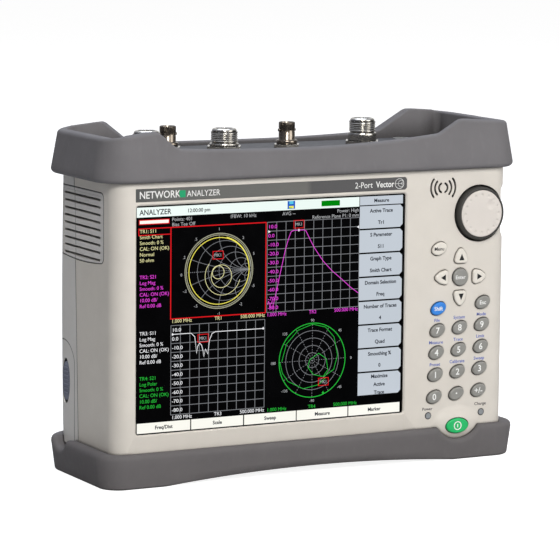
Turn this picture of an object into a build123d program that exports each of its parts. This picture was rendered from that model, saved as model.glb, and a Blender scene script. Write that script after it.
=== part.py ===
from build123d import *
import math
import os

# A hand-carried vector network analyzer: a two-shell case between two rubber bumpers, with a
# display on the left of its front face, a keypad and a rotary knob on the right, and coaxial
# ports standing in the hollow of the top bumper.
#
# Frame, in millimetres: +X to the operator's right, +Y to the back, +Z up.
# x = 0 and y = 0 are the middle of the footprint, and z = 0 is where the feet rest.

# ------------------------------------------------------------------ driving dimensions
OVERALL_WIDTH = 273.0
OVERALL_DEPTH = 91.0
BUMPER_CORNER = 19.0
TUB_FRONT_CORNER = 14.5     # the bottom bumper's front corners are tighter
EAR_TOP = 203.0             # where the top bumper's ears are highest
WELL_WIDTH = 249.4          # of the hollow in the top bumper

CASE_WIDTH = 257.0
CASE_FRONT = -41.5
CASE_REAR = 41.0            # at the crown, half-way up
CASE_CROWN = 2.5            # how far the rear face falls away by the floor and the roof
CASE_FLOOR = 8.0
CASE_ROOF = 184.0
CASE_CORNER = 10.5
WALL = 2.5
SEAM_Y, SEAM_Z, SEAM_SLOPE = 9.6, 20.0, 0.039   # where the front and rear shells meet
SEAM_GROOVE = 0.7

RUNNING = 0.05              # radial clearance of a shaft in its hole
SNUG = 0.02                 # radial clearance of a pin or screw that doesn't turn
FIT = 0.1                   # clearance between parts that only touch
TRAVEL_GAP = 0.25           # clearance round parts that slide
KEY_GAP = 0.42              # clearance round the keys, and round the lamps

# scoop in the right-hand side, beside the knob
NOTCH_FLOOR_X, NOTCH_UP, NOTCH_DOWN, NOTCH_BACK = 123.5, 13.7, 11.8, -22.0

# display
SCREEN_X, SCREEN_Z = -28.85, 95.6
SCREEN_WIDTH, SCREEN_HEIGHT = 173.6, 130.2      # opening in the case
WINDOW_LAP = 3.2
WINDOW_FRONT, WINDOW_THICK = -39.8, 1.8
PANEL_WIDTH, PANEL_HEIGHT, PANEL_THICK = 184.0, 143.0, 7.0
STRIP_X, STRIP_Z = -29.05, 166.6
STRIP_WIDTH, STRIP_HEIGHT = 174.3, 7.2

# keys: every key slides 1 mm into the case
KEY_TRAVEL = 1.0
KEY_PROUD = 1.6
KEY_LONG, KEY_SHORT = 5.1, 3.6      # half axes of the oval keys
KEY_TILT = 22.0                     # of the long axis, up to the right
KEY_FLANGE = 1.0
FLANGE_FRONT, FLANGE_BACK = -38.95, -37.95
MAT_FRONT, BOARD_FRONT, BOARD_BACK = -36.0, -35.0, -33.4
DOME_FRONT = FLANGE_BACK + KEY_TRAVEL + 0.2
PAD_X, PAD_Z = 80.2, 78.3           # the 7 key
COLUMN_X, COLUMN_Z = 15.2, 1.0      # step to the next column
ROW_X, ROW_Z = -0.53, -13.2         # step to the next row
POWER_X, POWER_Z = 93.3, 20.8
MOUND_X, MOUND_Z = 93.9, 22.2
POWER_FRONT = -45.2
LED_PLACES = [(74.9, 27.5), (111.4, 27.2)]
LED_RADIUS = 1.75
PAD_SHEET = (70.5, 116.5, 13.0, 133.0)      # x from, x to, z from, z to

# speaker behind its arc-shaped slots: x, z
SPEAKER = (82.9, 162.8)
SPEAKER_SKIN = 1.1                          # thickness of the case over the speaker

# knob
KNOB_X, KNOB_Z = 107.8, 146.8
KNOB_RADIUS, CAP_RADIUS, WELL_RADIUS = 15.8, 14.0, 17.0
KNOB_FRONT, WELL_FLOOR = -45.0, -26.0
SHAFT_RADIUS = 3.0

# battery door, on the left side
DOOR_FRONT, DOOR_REAR = 15.0, 34.5
DOOR_LOW, DOOR_THICK, DOOR_TRAVEL = 16.0, 3.0, 6.0
GRIP = (27.4, 52.5)                             # y, z of the door's finger grip
PACK_Y, PACK_Z = (17.5, 35.5), (27.0, 70.0)     # battery pack, from and to
PACK_FRONT_X, PACK_END_X = -121.5, 40.0

# fan behind the left-hand vent
VENT_GAP = 0.5              # between the grille's face and the case
FAN_Y, FAN_Z, FAN_SIZE = 3.0, 147.0, 40.0
FAN_OUTER, FAN_INNER = -122.0, -112.0

# tilt bail on the back
BAIL_HALF, BAIL_LOW, BAIL_THICK = 75.0, 84.0, 3.4
BAIL_AXIS_Y, BAIL_AXIS_Z = 37.4, 162.0
BAIL_FLOOR = 35.2
BAIL_PIN_RADIUS = 1.0
BAIL_PIN_X = (64.5, 78.2)

# ports: x, y, height of the top
N_PORTS = [(-90.3, 0.0, 199.0), (-40.5, 0.0, 198.7), (51.0, 0.0, 201.8)]
BNC_PORTS = [(-71.0, 12.0, 200.0), (0.5, 0.0, 201.0)]
N_THREAD_RADIUS, BNC_BARREL_RADIUS = 7.94, 4.8
PANEL_TOP = 186.0
PORT_TAIL = 172.0

RF_BOX = (-60.0, 62.0, -12.0, 13.5, 78.0, 152.0)     # x, y and z, each from and to
BOARD_PLACES = [(-95, 36), (70, 36), (-95, 150), (70, 150)]
RF_STANDS = [(-52, 84), (54, 84), (-52, 146), (54, 146)]

SCREW_RADIUS, SCREW_HEAD_RADIUS, HEX_RADIUS = 1.5, 2.9, 1.3
SCREW_PASSAGE, SCREW_COUNTERBORE = 1.7, 3.2
CASE_SCREWS = [(-121, 15.5), (0, 15.5), (121, 15.5), (-121, 176.5), (24, 176.5), (121, 176.5)]
BUMPER_SCREWS = [(-95, 12), (95, 12), (-95, 179), (95, 179)]
FAR = 200.0                 # beyond every face, for cutters


# ------------------------------------------------------------------ small helpers
def along_x(sketch, x0, x1):
    """A sketch in (y, z), from x0 to x1."""
    return extrude(Plane.YZ.offset(x0) * sketch, amount=x1 - x0, dir=(1, 0, 0))


def along_y(sketch, y0, y1, taper=0):
    """A sketch in (x, z), from y1 forwards to y0. A taper draws its front end in."""
    return extrude(Plane.XZ.offset(-y1) * sketch, amount=y1 - y0, dir=(0, -1, 0), taper=taper)


def along_z(sketch, z0, z1):
    """A sketch in (x, y), from z0 to z1."""
    return extrude(Plane.XY.offset(z0) * sketch, amount=z1 - z0, dir=(0, 0, 1))


def outline(*points):
    return make_face(Polyline(*points, close=True))


def block(x0, x1, y0, y1, z0, z1):
    centre = ((x0 + x1) / 2, (y0 + y1) / 2, (z0 + z1) / 2)
    return Pos(*centre) * Box(x1 - x0, y1 - y0, z1 - z0)


def rod_x(y, z, radius, x0, x1):
    return along_x(Pos(y, z) * Circle(radius), x0, x1)


def rod_y(x, z, radius, y0, y1):
    return along_y(Pos(x, z) * Circle(radius), y0, y1)


def rod_z(x, y, radius, z0, z1):
    return along_z(Pos(x, y) * Circle(radius), z0, z1)


def solids(shape):
    """A group of separate solids, for a node that holds several identical pieces."""
    return Compound(children=[Solid(s.wrapped) for s in shape.solids()])


def joined(shapes):
    whole = None
    for shape in shapes:
        whole = shape if whole is None else whole + shape
    return whole


def ring_section(z, inset, front_corner):
    """The bumper's outline at height z, drawn in by inset from the overall size."""
    plan = Rectangle(OVERALL_WIDTH - 2 * inset, OVERALL_DEPTH - 2 * inset)
    plan = fillet(plan.vertices().group_by(Axis.Y)[0], front_corner - inset)
    plan = fillet(plan.vertices().group_by(Axis.Y)[-1], BUMPER_CORNER - inset)
    return Pos(0, 0, z) * plan


def stacked(sections, front_corner=BUMPER_CORNER):
    """A solid through level outlines, each given as (z, inset)."""
    steps = [
        loft([ring_section(*low, front_corner), ring_section(*high, front_corner)], ruled=True)
        for low, high in zip(sections, sections[1:])
    ]
    return joined(steps)


# ------------------------------------------------------------------ case
def seam_y(z):
    return SEAM_Y + (z - SEAM_Z) * SEAM_SLOPE


def case_block(shrink=0.0):
    """The case's rounded block with its crowned rear face, drawn in by shrink all round."""
    front, rear, edge = CASE_FRONT + shrink, CASE_REAR - shrink, CASE_REAR - CASE_CROWN - shrink
    low, high = CASE_FLOOR + shrink, CASE_ROOF - shrink
    side = make_face([
        Polyline((edge, high), (front, high), (front, low), (edge, low)),
        ThreePointArc((edge, low), (rear, (low + high) / 2), (edge, high)),
    ])
    body = along_x(side, shrink - CASE_WIDTH / 2, CASE_WIDTH / 2 - shrink)
    uprights = body.edges().filter_by(lambda e: e.bounding_box().size.Z > 100)
    return fillet(uprights, CASE_CORNER - shrink)


def ahead_of_seam(shift=0.0):
    """Everything in front of the sloping plane where the shells meet."""
    low, high = CASE_FLOOR - WALL, CASE_ROOF + WALL
    side = outline((-FAR, low), (seam_y(low) + shift, low), (seam_y(high) + shift, high), (-FAR, high))
    return along_x(side, -FAR, FAR)


def seam_groove():
    slab = ahead_of_seam(SEAM_GROOVE / 2) - ahead_of_seam(-SEAM_GROOVE / 2)
    return slab & (case_block() - case_block(SEAM_GROOVE))


def knob_notch(grow=0.0):
    """The scoop in the right-hand side that bares the knob's edge to the thumb."""
    floor_x, side_x = NOTCH_FLOOR_X - grow, OVERALL_WIDTH / 2 + 3.5
    top, bottom = KNOB_Z + NOTCH_UP + grow, KNOB_Z - NOTCH_DOWN - grow
    rise, fall = 0.8, 1.2       # slopes of its upper and lower ends
    reach = side_x - floor_x
    profile = outline(
        (floor_x, bottom),
        (side_x, bottom - fall * reach),
        (side_x, top + rise * reach),
        (floor_x, top),
    )
    return along_y(profile, -FAR, NOTCH_BACK + grow)


def door_outline(grow=0.0):
    """The battery door in (y, z): straight sides under an arched top."""
    front, rear, low = DOOR_FRONT - grow, DOOR_REAR + grow, DOOR_LOW - grow
    return make_face([
        Polyline((front, 65.0), (front, low), (rear, low), (rear, 76.0 + grow)),
        ThreePointArc((rear, 76.0 + grow), (20.2 - grow * 0.7, 73.0 + grow * 0.7), (front, 65.0)),
    ])


def vent_outline(grow=0.0):
    """The grille's face in (y, z): rounded front corners and a bottom edge that sags a little."""
    front, rear, top, low = -25.0 - grow, 32.5 + grow, 166.7 + grow, 127.0 - grow
    corner = 3.5 + grow
    return make_face([
        Polyline((rear, low), (rear, top), (front + corner, top)),
        RadiusArc((front + corner, top), (front, top - corner), -corner),
        Line((front, top - corner), (front, low + corner)),
        RadiusArc((front, low + corner), (front + corner, low), -corner),
        ThreePointArc((front + corner, low), (8.0, low - 1.5), (rear, low)),
    ])


def case_shell():
    """Both shells in one piece, before they are parted."""
    cavity = case_block(WALL)
    cavity -= rod_y(KNOB_X, KNOB_Z, WELL_RADIUS + WALL, -FAR, WELL_FLOOR + WALL)
    cavity -= knob_notch(WALL)
    cavity -= block(-FAR, -122.5, 12.7, FAR, 0, 80)
    cavity -= block(-BAIL_HALF - 3.5, BAIL_HALF + 3.5, BAIL_FLOOR - WALL, FAR, 73, 172)
    shell = case_block() - cavity
    shell -= knob_notch()
    shell -= rod_y(KNOB_X, KNOB_Z, WELL_RADIUS, -FAR, WELL_FLOOR)
    shell -= rod_y(KNOB_X, KNOB_Z, 4.5 + FIT, WELL_FLOOR - 1, WELL_FLOOR + WALL + 1)
    for drop in (0, DOOR_TRAVEL):
        shell -= door_pocket(drop)
    shell -= block(-FAR, -122.0, PACK_Y[0] - 0.3, PACK_Y[1] + 0.3, PACK_Z[0] - 0.3, PACK_Z[1] + 0.3)
    shell -= along_x(vent_outline(VENT_GAP), -FAR, -125.0)
    shell -= block(-BAIL_HALF - 0.5, BAIL_HALF + 0.5, BAIL_FLOOR, FAR, 76, 168)
    shell -= rod_x(BAIL_AXIS_Y, BAIL_AXIS_Z, BAIL_PIN_RADIUS + SNUG, -78.3, 78.3)
    shell -= block(-105, 108, -16, 24, CASE_ROOF - 5, FAR * 2)
    for x, z in BUMPER_SCREWS:
        shell -= rod_y(x, z, SCREW_RADIUS + SNUG, 20, FAR)
    return shell


def door_pocket(drop):
    """The recess that the battery door lies in, at drop below where it is when shut."""
    floor_x = DOOR_THICK + TRAVEL_GAP - CASE_WIDTH / 2
    return Pos(0, 0, -drop) * along_x(door_outline(TRAVEL_GAP), -FAR, floor_x)


def sill_facet():
    """What the face below the screen loses: it leans back to the bumper between two creases."""
    top, low, deep = 30.2, 14.0, 1.8
    left, right, spread = -115.9, 58.2, 14.0
    a, b = (left, CASE_FRONT, top), (right, CASE_FRONT, top)
    c, d = (right + spread, CASE_FRONT, low), (left - spread, CASE_FRONT, low)
    e, f = (left, CASE_FRONT + deep, low), (right, CASE_FRONT + deep, low)
    rings = [(a, b, f, e), (a, e, d), (b, c, f), (a, d, c, b), (d, e, f, c)]
    return Solid(Shell([Face(Wire.make_polygon(ring, close=True)) for ring in rings]))


def power_mound():
    """The oval swelling round the power button, which flows out of the case's face."""
    half_x, half_y, half_z, sunk = 18.4, 7.4, 10.6, 3.9
    left, right, low, high = 70, 117, CASE_FLOOR + 1, 40
    face = block(left, right, CASE_FRONT, CASE_FRONT + 1, low, high)
    egg = Pos(MOUND_X, CASE_FRONT + sunk, MOUND_Z) * scale(Sphere(1), by=(half_x, half_y, half_z))
    merged = face + (egg & block(left, right, -44.9, CASE_FRONT + 1, low, high))
    foot = [e for e in merged.edges() if e.geom_type != GeomType.LINE and abs(e.center().Y - CASE_FRONT) < 0.01]
    tub = block(left, right, -FAR, CASE_FRONT, 0, 20.3 + FIT) - dip_cone(FIT)
    return fillet(foot, 4.0) - tub


def speaker_slots():
    slots = []
    for radius, half_angle in ((8.3, 39), (5.6, 43), (2.9, 62)):
        for facing in (0, 180):
            arc = CenterArc(SPEAKER, radius, facing - half_angle, 2 * half_angle)
            slots.append(along_y(SlotArc(arc, 1.25), CASE_FRONT - 1, CASE_FRONT + WALL + 1))
    return joined(slots)


def front_case(shell):
    body = shell & ahead_of_seam()
    body -= seam_groove()
    for x, z in CASE_SCREWS:
        post = rod_y(x, z, 4.0, CASE_FRONT, seam_y(z) - FIT) & case_block(1.0)
        body += post & ahead_of_seam(-FIT)
        body -= rod_y(x, z, SCREW_RADIUS + SNUG, -14, FAR)
    body += power_mound()
    body -= sill_facet()
    opening = Pos(SCREEN_X, SCREEN_Z) * RectangleRounded(SCREEN_WIDTH, SCREEN_HEIGHT, 1.5)
    body -= along_y(opening, CASE_FRONT - 1, CASE_FRONT + WALL + 1)
    body -= along_y(opening, CASE_FRONT, CASE_FRONT + 0.8, taper=-45)
    rebate = 2 * (WINDOW_LAP + FIT)
    seat = Pos(SCREEN_X, SCREEN_Z) * Rectangle(SCREEN_WIDTH + rebate, SCREEN_HEIGHT + rebate)
    body -= along_y(seat, WINDOW_FRONT - FIT, CASE_FRONT + WALL + 1)
    body -= along_y(strip_outline(FIT), CASE_FRONT - 1, CASE_FRONT + 0.4)
    for x, z, shape in key_places().values():
        body -= along_y(Pos(x, z) * shape(KEY_GAP), POWER_FRONT - 5, CASE_FRONT + WALL + 1)
    for x, z in LED_PLACES:
        body -= rod_y(x, z, LED_RADIUS + KEY_GAP, CASE_FRONT - 1, CASE_FRONT + WALL + 1)
    body -= rod_y(*SPEAKER, 9.4, CASE_FRONT + SPEAKER_SKIN, CASE_FRONT + WALL + 1)
    body -= speaker_slots()
    return body


def rear_case(shell):
    body = shell - ahead_of_seam()
    body -= seam_groove()
    for x, z in CASE_SCREWS:
        body += rod_y(x, z, 5.5, seam_y(z), FAR) & case_block(1.0) - ahead_of_seam()
        body -= rod_y(x, z, SCREW_PASSAGE, 0, FAR)
        body -= rod_y(x, z, SCREW_COUNTERBORE, screw_seat_y(z), FAR)
    return body - door_pocket(DOOR_TRAVEL)


# ------------------------------------------------------------------ bumpers
def bottom_bumper():
    """A rubber tub that the case stands in, cut away for the power button and the battery door."""
    body = stacked([(0, 3.6), (1.8, 2.0), (17, 0), (20.3, 3.2)], TUB_FRONT_CORNER)
    body -= case_block(-FIT)
    wave = make_face([
        Polyline((92, 0), (92, -5), (-97, -5), (-97, 0)),
        ThreePointArc((-97, 0), (-8, 4.4), (92, 0)),
    ])
    body -= along_y(wave, -FAR, FAR)
    body -= dip_cone()
    body -= rod_x(21.5, 24.9, 12.7, -FAR, -CASE_WIDTH / 2)
    lowest = DOOR_LOW - DOOR_TRAVEL - TRAVEL_GAP
    door_room = Pos(0, 0, -DOOR_TRAVEL) * case_block(-FIT) & block(-FAR, -120, 10, 38, lowest, 25)
    return body - door_room - bumper_screw_holes()


def dip_cone(shrink=0.0):
    """The dip round the power button. It widens forwards, so its edge is a broad bevel."""
    inner, outer, depth = 16.4 - shrink, 19.4 - shrink, 4.0
    cone = Plane.XZ.offset(-CASE_FRONT) * Cone(inner, outer, depth, align=(Align.CENTER, Align.CENTER, Align.MIN))
    return Pos(94.5, 0, 29.1) * cone


def rim_front():
    """What is cut away above the front rim, in (x, z)."""
    above = [(140, 199.9), (FAR, 199.9), (FAR, 260), (-FAR, 260), (-FAR, 198.2), (-133, 198.2)]
    return make_face([
        Polyline((79, 194.8), (94, EAR_TOP), *above, (-108, EAR_TOP)),
        Spline((-108, EAR_TOP), (-99, 197.4), (-91, 192), tangents=[(1, -0.2), (1, -0.25)]),
        ThreePointArc((-91, 192), (-12, 189.9), (79, 194.8)),
    ])


def rim_rear():
    """What is cut away above the rear rim, in (x, z)."""
    above = [(140, 199.9), (FAR, 199.9), (FAR, 260), (-FAR, 260), (-FAR, 198.2), (-133, 198.2)]
    return make_face([
        Polyline((81, 190), (102, EAR_TOP), *above, (-99, 201.6), (-86, 188.4)),
        ThreePointArc((-86, 188.4), (0, 187.8), (81, 190)),
    ])


def top_bumper():
    """A hollow rubber ring round the case's head, whose ends rise into ears that guard the ports."""
    body = stacked([(173.5, 2.4), (176.3, 0), (EAR_TOP, 4.8)])
    body -= case_block(-FIT)
    well = RectangleRounded(WELL_WIDTH, 73, 4)
    body -= along_z(well, CASE_ROOF - 1, FAR * 2)
    body -= along_y(rim_front(), -FAR, 0)
    body -= along_y(rim_rear(), 0, FAR)
    return body - bumper_screw_holes()


def bumper_screw_holes():
    holes = []
    for x, z in BUMPER_SCREWS:
        counterbore = rod_y(x, z, SCREW_COUNTERBORE, BUMPER_SCREW_SEAT, FAR)
        holes.append(rod_y(x, z, SCREW_PASSAGE, 20, FAR) + counterbore)
    return joined(holes)


# ------------------------------------------------------------------ screws
BUMPER_SCREW_SEAT = 43.0


def screw(x, z, seat, length, head, socket):
    """A hex-socket screw driven in from behind, with its head resting at y = seat."""
    body = rod_y(x, z, SCREW_RADIUS, seat - length, seat)
    body += rod_y(x, z, SCREW_HEAD_RADIUS, seat, seat + head)
    return body - along_y(Pos(x, z) * RegularPolygon(HEX_RADIUS, 6), seat + head - socket, FAR)


def bumper_screws():
    seat = BUMPER_SCREW_SEAT + FIT
    return solids(joined([screw(x, z, seat, 9.1, 1.0, 0.6) for x, z in BUMPER_SCREWS]))


def screw_seat_y(z):
    return seam_y(z) + 4.0


def case_screws():
    return solids(joined([screw(x, z, screw_seat_y(z), 16.0, 2.4, 1.4) for x, z in CASE_SCREWS]))


# ------------------------------------------------------------------ display
def strip_outline(grow=0.0):
    """The title strip, with the corners of its right-hand end cut off."""
    right, half, cut = STRIP_WIDTH / 2 + grow, STRIP_HEIGHT / 2 + grow, 1.2
    return Pos(STRIP_X, STRIP_Z) * outline(
        (-right, -half), (right - cut, -half), (right, cut - half), (right, half - cut), (right - cut, half),
        (-right, half),
    )


def title_strip():
    return along_y(strip_outline(), CASE_FRONT - 0.05, CASE_FRONT + 0.35)


def display_window():
    pane = Rectangle(SCREEN_WIDTH + 2 * WINDOW_LAP, SCREEN_HEIGHT + 2 * WINDOW_LAP)
    return along_y(Pos(SCREEN_X, SCREEN_Z) * pane, WINDOW_FRONT, WINDOW_FRONT + WINDOW_THICK)


GASKET_BACK = WINDOW_FRONT + WINDOW_THICK + 0.8
PANEL_BACK = GASKET_BACK + PANEL_THICK


def display_gasket():
    frame = Rectangle(SCREEN_WIDTH + 2 * WINDOW_LAP, SCREEN_HEIGHT + 2 * WINDOW_LAP)
    frame -= Rectangle(SCREEN_WIDTH, SCREEN_HEIGHT)
    return along_y(Pos(SCREEN_X, SCREEN_Z) * frame, WINDOW_FRONT + WINDOW_THICK, GASKET_BACK)


def lcd_panel():
    panel = Pos(SCREEN_X, SCREEN_Z) * Rectangle(PANEL_WIDTH, PANEL_HEIGHT)
    return along_y(panel, GASKET_BACK, PANEL_BACK)


def lcd_frame():
    """A folded sheet tray that holds the panel from behind."""
    lip = 1.0 + FIT
    tray = Pos(SCREEN_X, SCREEN_Z) * Rectangle(PANEL_WIDTH + 2 * lip, PANEL_HEIGHT + 2 * lip)
    inside = Pos(SCREEN_X, SCREEN_Z) * Rectangle(PANEL_WIDTH + 2 * FIT, PANEL_HEIGHT + 2 * FIT)
    body = along_y(tray, GASKET_BACK + 1, PANEL_BACK + 1.5)
    return body - along_y(inside, -FAR, PANEL_BACK)


# ------------------------------------------------------------------ keypad
def oval_key(grow=0.0):
    return Rot(0, 0, KEY_TILT) * Ellipse(KEY_LONG + grow, KEY_SHORT + grow)


def round_key(grow=0.0):
    return Circle(5.15 + grow)


def power_key(grow=0.0):
    return Ellipse(7.5 + grow, 4.55 + grow)


def arrow_key(turn):
    """A pick with a flattish base, whose point faces turn degrees up from the right."""
    rounds = [(2.45, 0, 2.0), (-0.5, 0, 3.8), (-2.35, 2.2, 2.1), (-2.35, -2.2, 2.1)]     # x, z, radius

    def shape(grow=0.0):
        circles = [Pos(x, z) * Circle(radius + grow) for x, z, radius in rounds]
        edges = [edge for circle in circles for edge in circle.edges()]
        return Rot(0, 0, turn) * make_hull(edges)
    return shape


def key_places():
    """Every key's node name, with its place on the front face and its outline."""
    names = [["key_7", "key_8", "key_9"], ["key_4", "key_5", "key_6"], ["key_1", "key_2", "key_3"],
             ["key_0", "key_point", "key_plus_minus"]]
    places = {}
    for row, row_names in enumerate(names):
        for column, name in enumerate(row_names):
            x = PAD_X + column * COLUMN_X + row * ROW_X
            z = PAD_Z + column * COLUMN_Z + row * ROW_Z
            places[name] = (x, z, oval_key)
    places["key_shift"] = (80.6, 91.4, oval_key)
    places["key_escape"] = (111.0, 93.5, oval_key)
    places["key_menu"] = (80.5, 127.0, oval_key)
    places["key_enter"] = (95.3, 109.4, round_key)
    places["arrow_up"] = (95.4, 122.1, arrow_key(90))
    places["arrow_down"] = (95.1, 96.9, arrow_key(270))
    places["arrow_left"] = (82.4, 109.7, arrow_key(180))
    places["arrow_right"] = (108.1, 109.2, arrow_key(0))
    places["power_button"] = (POWER_X, POWER_Z, power_key)
    return places


def key(name, x, z, shape):
    """A cap with a rounded face, on a flange that keeps it in the case."""
    face = POWER_FRONT if name == "power_button" else CASE_FRONT - KEY_PROUD
    cap = along_y(Pos(x, z) * shape(), face, FLANGE_FRONT)
    rim = cap.faces().sort_by(Axis.Y)[0].edges()
    cap = fillet(rim, 0.9)
    return cap + along_y(Pos(x, z) * shape(KEY_FLANGE), FLANGE_FRONT, FLANGE_BACK)


def pad_layer(y0, y1):
    """A layer behind the keys, cut away round the knob's well."""
    x0, x1, z0, z1 = PAD_SHEET
    return block(x0, x1, y0, y1, z0, z1) - rod_y(KNOB_X, KNOB_Z, WELL_RADIUS + WALL + 1, -FAR, FAR)


def keypad_mat():
    """A silicone sheet with a dome behind each key."""
    domes = [rod_y(x, z, 3.0, DOME_FRONT, MAT_FRONT) for x, z, _ in key_places().values()]
    return pad_layer(MAT_FRONT, BOARD_FRONT) + joined(domes)


def keypad_board():
    return pad_layer(BOARD_FRONT, BOARD_BACK) + block(78, 106, BOARD_BACK, BOARD_BACK + 2, 60, 66)


def led_light_pipes():
    pipes = [rod_y(x, z, LED_RADIUS, CASE_FRONT - 0.3, MAT_FRONT - FIT) for x, z in LED_PLACES]
    return solids(joined(pipes))


def speaker():
    basket = rod_y(*SPEAKER, 9.2, CASE_FRONT + SPEAKER_SKIN + FIT, -38.5)
    basket += rod_y(*SPEAKER, 8.2, -38.5, -35)
    return basket + rod_y(*SPEAKER, 5.0, -35, -32)


# ------------------------------------------------------------------ knob
def knob_rim():
    """A cup that flares back from the cap, with a hub on the encoder's shaft."""
    profile = make_face(Polyline(
        (CAP_RADIUS + 0.4, KNOB_FRONT + 0.3), (CAP_RADIUS + 1.1, KNOB_FRONT + 0.6), (KNOB_RADIUS, -41.0),
        (KNOB_RADIUS, -28.0), (KNOB_RADIUS - 2.0, -28.0), (KNOB_RADIUS - 2.0, -40.0), (5.5, -40.0),
        (5.5, -33.0), (SHAFT_RADIUS + SNUG, -33.0), (SHAFT_RADIUS + SNUG, -42.0), (CAP_RADIUS + FIT, -42.0),
        (CAP_RADIUS + FIT, KNOB_FRONT + 0.3), close=True,
    ))
    turned = revolve(Plane.XY * profile, axis=Axis.Y)
    return Pos(KNOB_X, 0, KNOB_Z) * turned


def knob_cap():
    """The pale disc on the knob's face, with a ring of finger dimples."""
    disc = fillet(rod_y(0, 0, CAP_RADIUS, KNOB_FRONT, -42.1).faces().sort_by(Axis.Y)[0].edges(), 0.6)
    for step in range(16):
        angle = math.radians(step * 360 / 16)
        disc -= Pos(11.3 * math.cos(angle), KNOB_FRONT - 0.75, 11.3 * math.sin(angle)) * Sphere(1.1)
    return Pos(KNOB_X, 0, KNOB_Z) * disc


def encoder_shaft():
    return rod_y(KNOB_X, KNOB_Z, SHAFT_RADIUS, -41.9, -18.5)


def encoder_body():
    body = block(KNOB_X - 7, KNOB_X + 7, WELL_FLOOR + WALL + FIT, -17, KNOB_Z - 7, KNOB_Z + 7)
    body += rod_y(KNOB_X, KNOB_Z, 4.5, -31.5, WELL_FLOOR + WALL + FIT)
    return body - rod_y(KNOB_X, KNOB_Z, SHAFT_RADIUS + RUNNING, -FAR, -18.3)


# ------------------------------------------------------------------ battery bay
GRIP_FLOOR, GRIP_FACE, GRIP_RIB_TOP = -126.8, -128.2, -128.7


def battery_door():
    """A plate flush with the side of the case, let in for its grip. It slides down to come off."""
    skin = along_x(door_outline(), -FAR, DOOR_THICK - CASE_WIDTH / 2) & case_block()
    return skin - along_x(Pos(*GRIP) * Ellipse(6.0, 13.4), -FAR, GRIP_FLOOR)


def battery_door_grip():
    y, z = GRIP
    pad = along_x(Pos(y, z) * Ellipse(4.9, 11.4), GRIP_FACE, GRIP_FLOOR)
    ribs = []
    for step in range(-3, 4):
        low = z + 2.5 * step
        ribs.append(block(GRIP_RIB_TOP, GRIP_FACE, y - 3.9, y + 3.9, low, low + 1))
    return pad + (joined(ribs) & along_x(Pos(y, z) * Ellipse(4.3, 10.8), -FAR, FAR))


def battery_pack():
    pack = block(PACK_FRONT_X, PACK_END_X, *PACK_Y, *PACK_Z)
    return chamfer(pack.edges().filter_by(Axis.X), 1.5)


def battery_contacts():
    """The block that the pack plugs on to, with its blades."""
    near, far = PACK_END_X + 2, PACK_END_X + 7
    body = block(near, far, 19, 34, 34, 63)
    return body + joined([block(PACK_END_X + FIT, near, 25, 28, z, z + 1.2) for z in (38, 43, 48, 53, 58)])


# ------------------------------------------------------------------ cooling
def vent_grille():
    """An insert across the seam: a narrow raised border round nine level slots."""
    face = along_x(vent_outline(), -FAR, -126.05) & case_block()
    flange = along_x(vent_outline(2.3), -125.95, -124.75) & case_block(WALL + FIT)
    grille = face + flange + along_x(vent_outline(-2.0), -126.05, -124.75)
    grille -= along_x(vent_outline(-1.7), -FAR, -128.1)
    for i in range(9):
        slot = Pos(5, 162.5 - 4.29 * i) * SlotOverall(50, 1.3)
        grille -= along_x(slot, -FAR, -120)
    return grille


def fan_frame():
    half = FAN_SIZE / 2
    body = block(FAN_OUTER, FAN_INNER, FAN_Y - half, FAN_Y + half, FAN_Z - half, FAN_Z + half)
    body -= rod_x(FAN_Y, FAN_Z, half - 1.5, -FAR, 0)
    body += rod_x(FAN_Y, FAN_Z, 9.0, FAN_INNER - 1.2, FAN_INNER)
    for turn in (45, 135, 225, 315):
        spoke = Rot(turn, 0, 0) * block(FAN_INNER - 1.2, FAN_INNER, 8, half - 0.8, -1.2, 1.2)
        body += Pos(0, FAN_Y, FAN_Z) * spoke
    body += rod_x(FAN_Y, FAN_Z, 1.5, FAN_OUTER + 2.5, FAN_INNER)
    for y in (FAN_Y - 16, FAN_Y + 16):
        for z in (FAN_Z - 16, FAN_Z + 16):
            body -= rod_x(y, z, 1.6, -FAR, 0)
    return body


def fan_rotor():
    """A hub with seven pitched blades, turning on the frame's spindle."""
    front, back = FAN_OUTER + 1.5, FAN_INNER - 2.0
    hub = rod_x(0, 0, 9.0, front, back) - rod_x(0, 0, 1.5 + RUNNING, front + 0.9, back)
    middle = (front + back) / 2
    for i in range(7):
        blade = Pos(0, 13.1, 0) * Rot(0, 40, 0) * Box(5.6, 9.4, 0.9)
        hub += Pos(middle, 0, 0) * Rot(i * 360 / 7, 0, 0) * blade
    return Pos(0, FAN_Y, FAN_Z) * hub


# ------------------------------------------------------------------ ports
def connector_panel():
    plate = along_z(RectangleRounded(224, 60, 4), CASE_ROOF + 0.05, PANEL_TOP)
    for x, y, _ in N_PORTS:
        plate -= rod_z(x, y, 7.0 + FIT, 0, FAR * 2)
    for x, y, _ in BNC_PORTS:
        plate -= rod_z(x, y, 4.5 + FIT, 0, FAR * 2)
    for _, cutter in socket_places():
        plate -= cutter
    return plate


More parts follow.
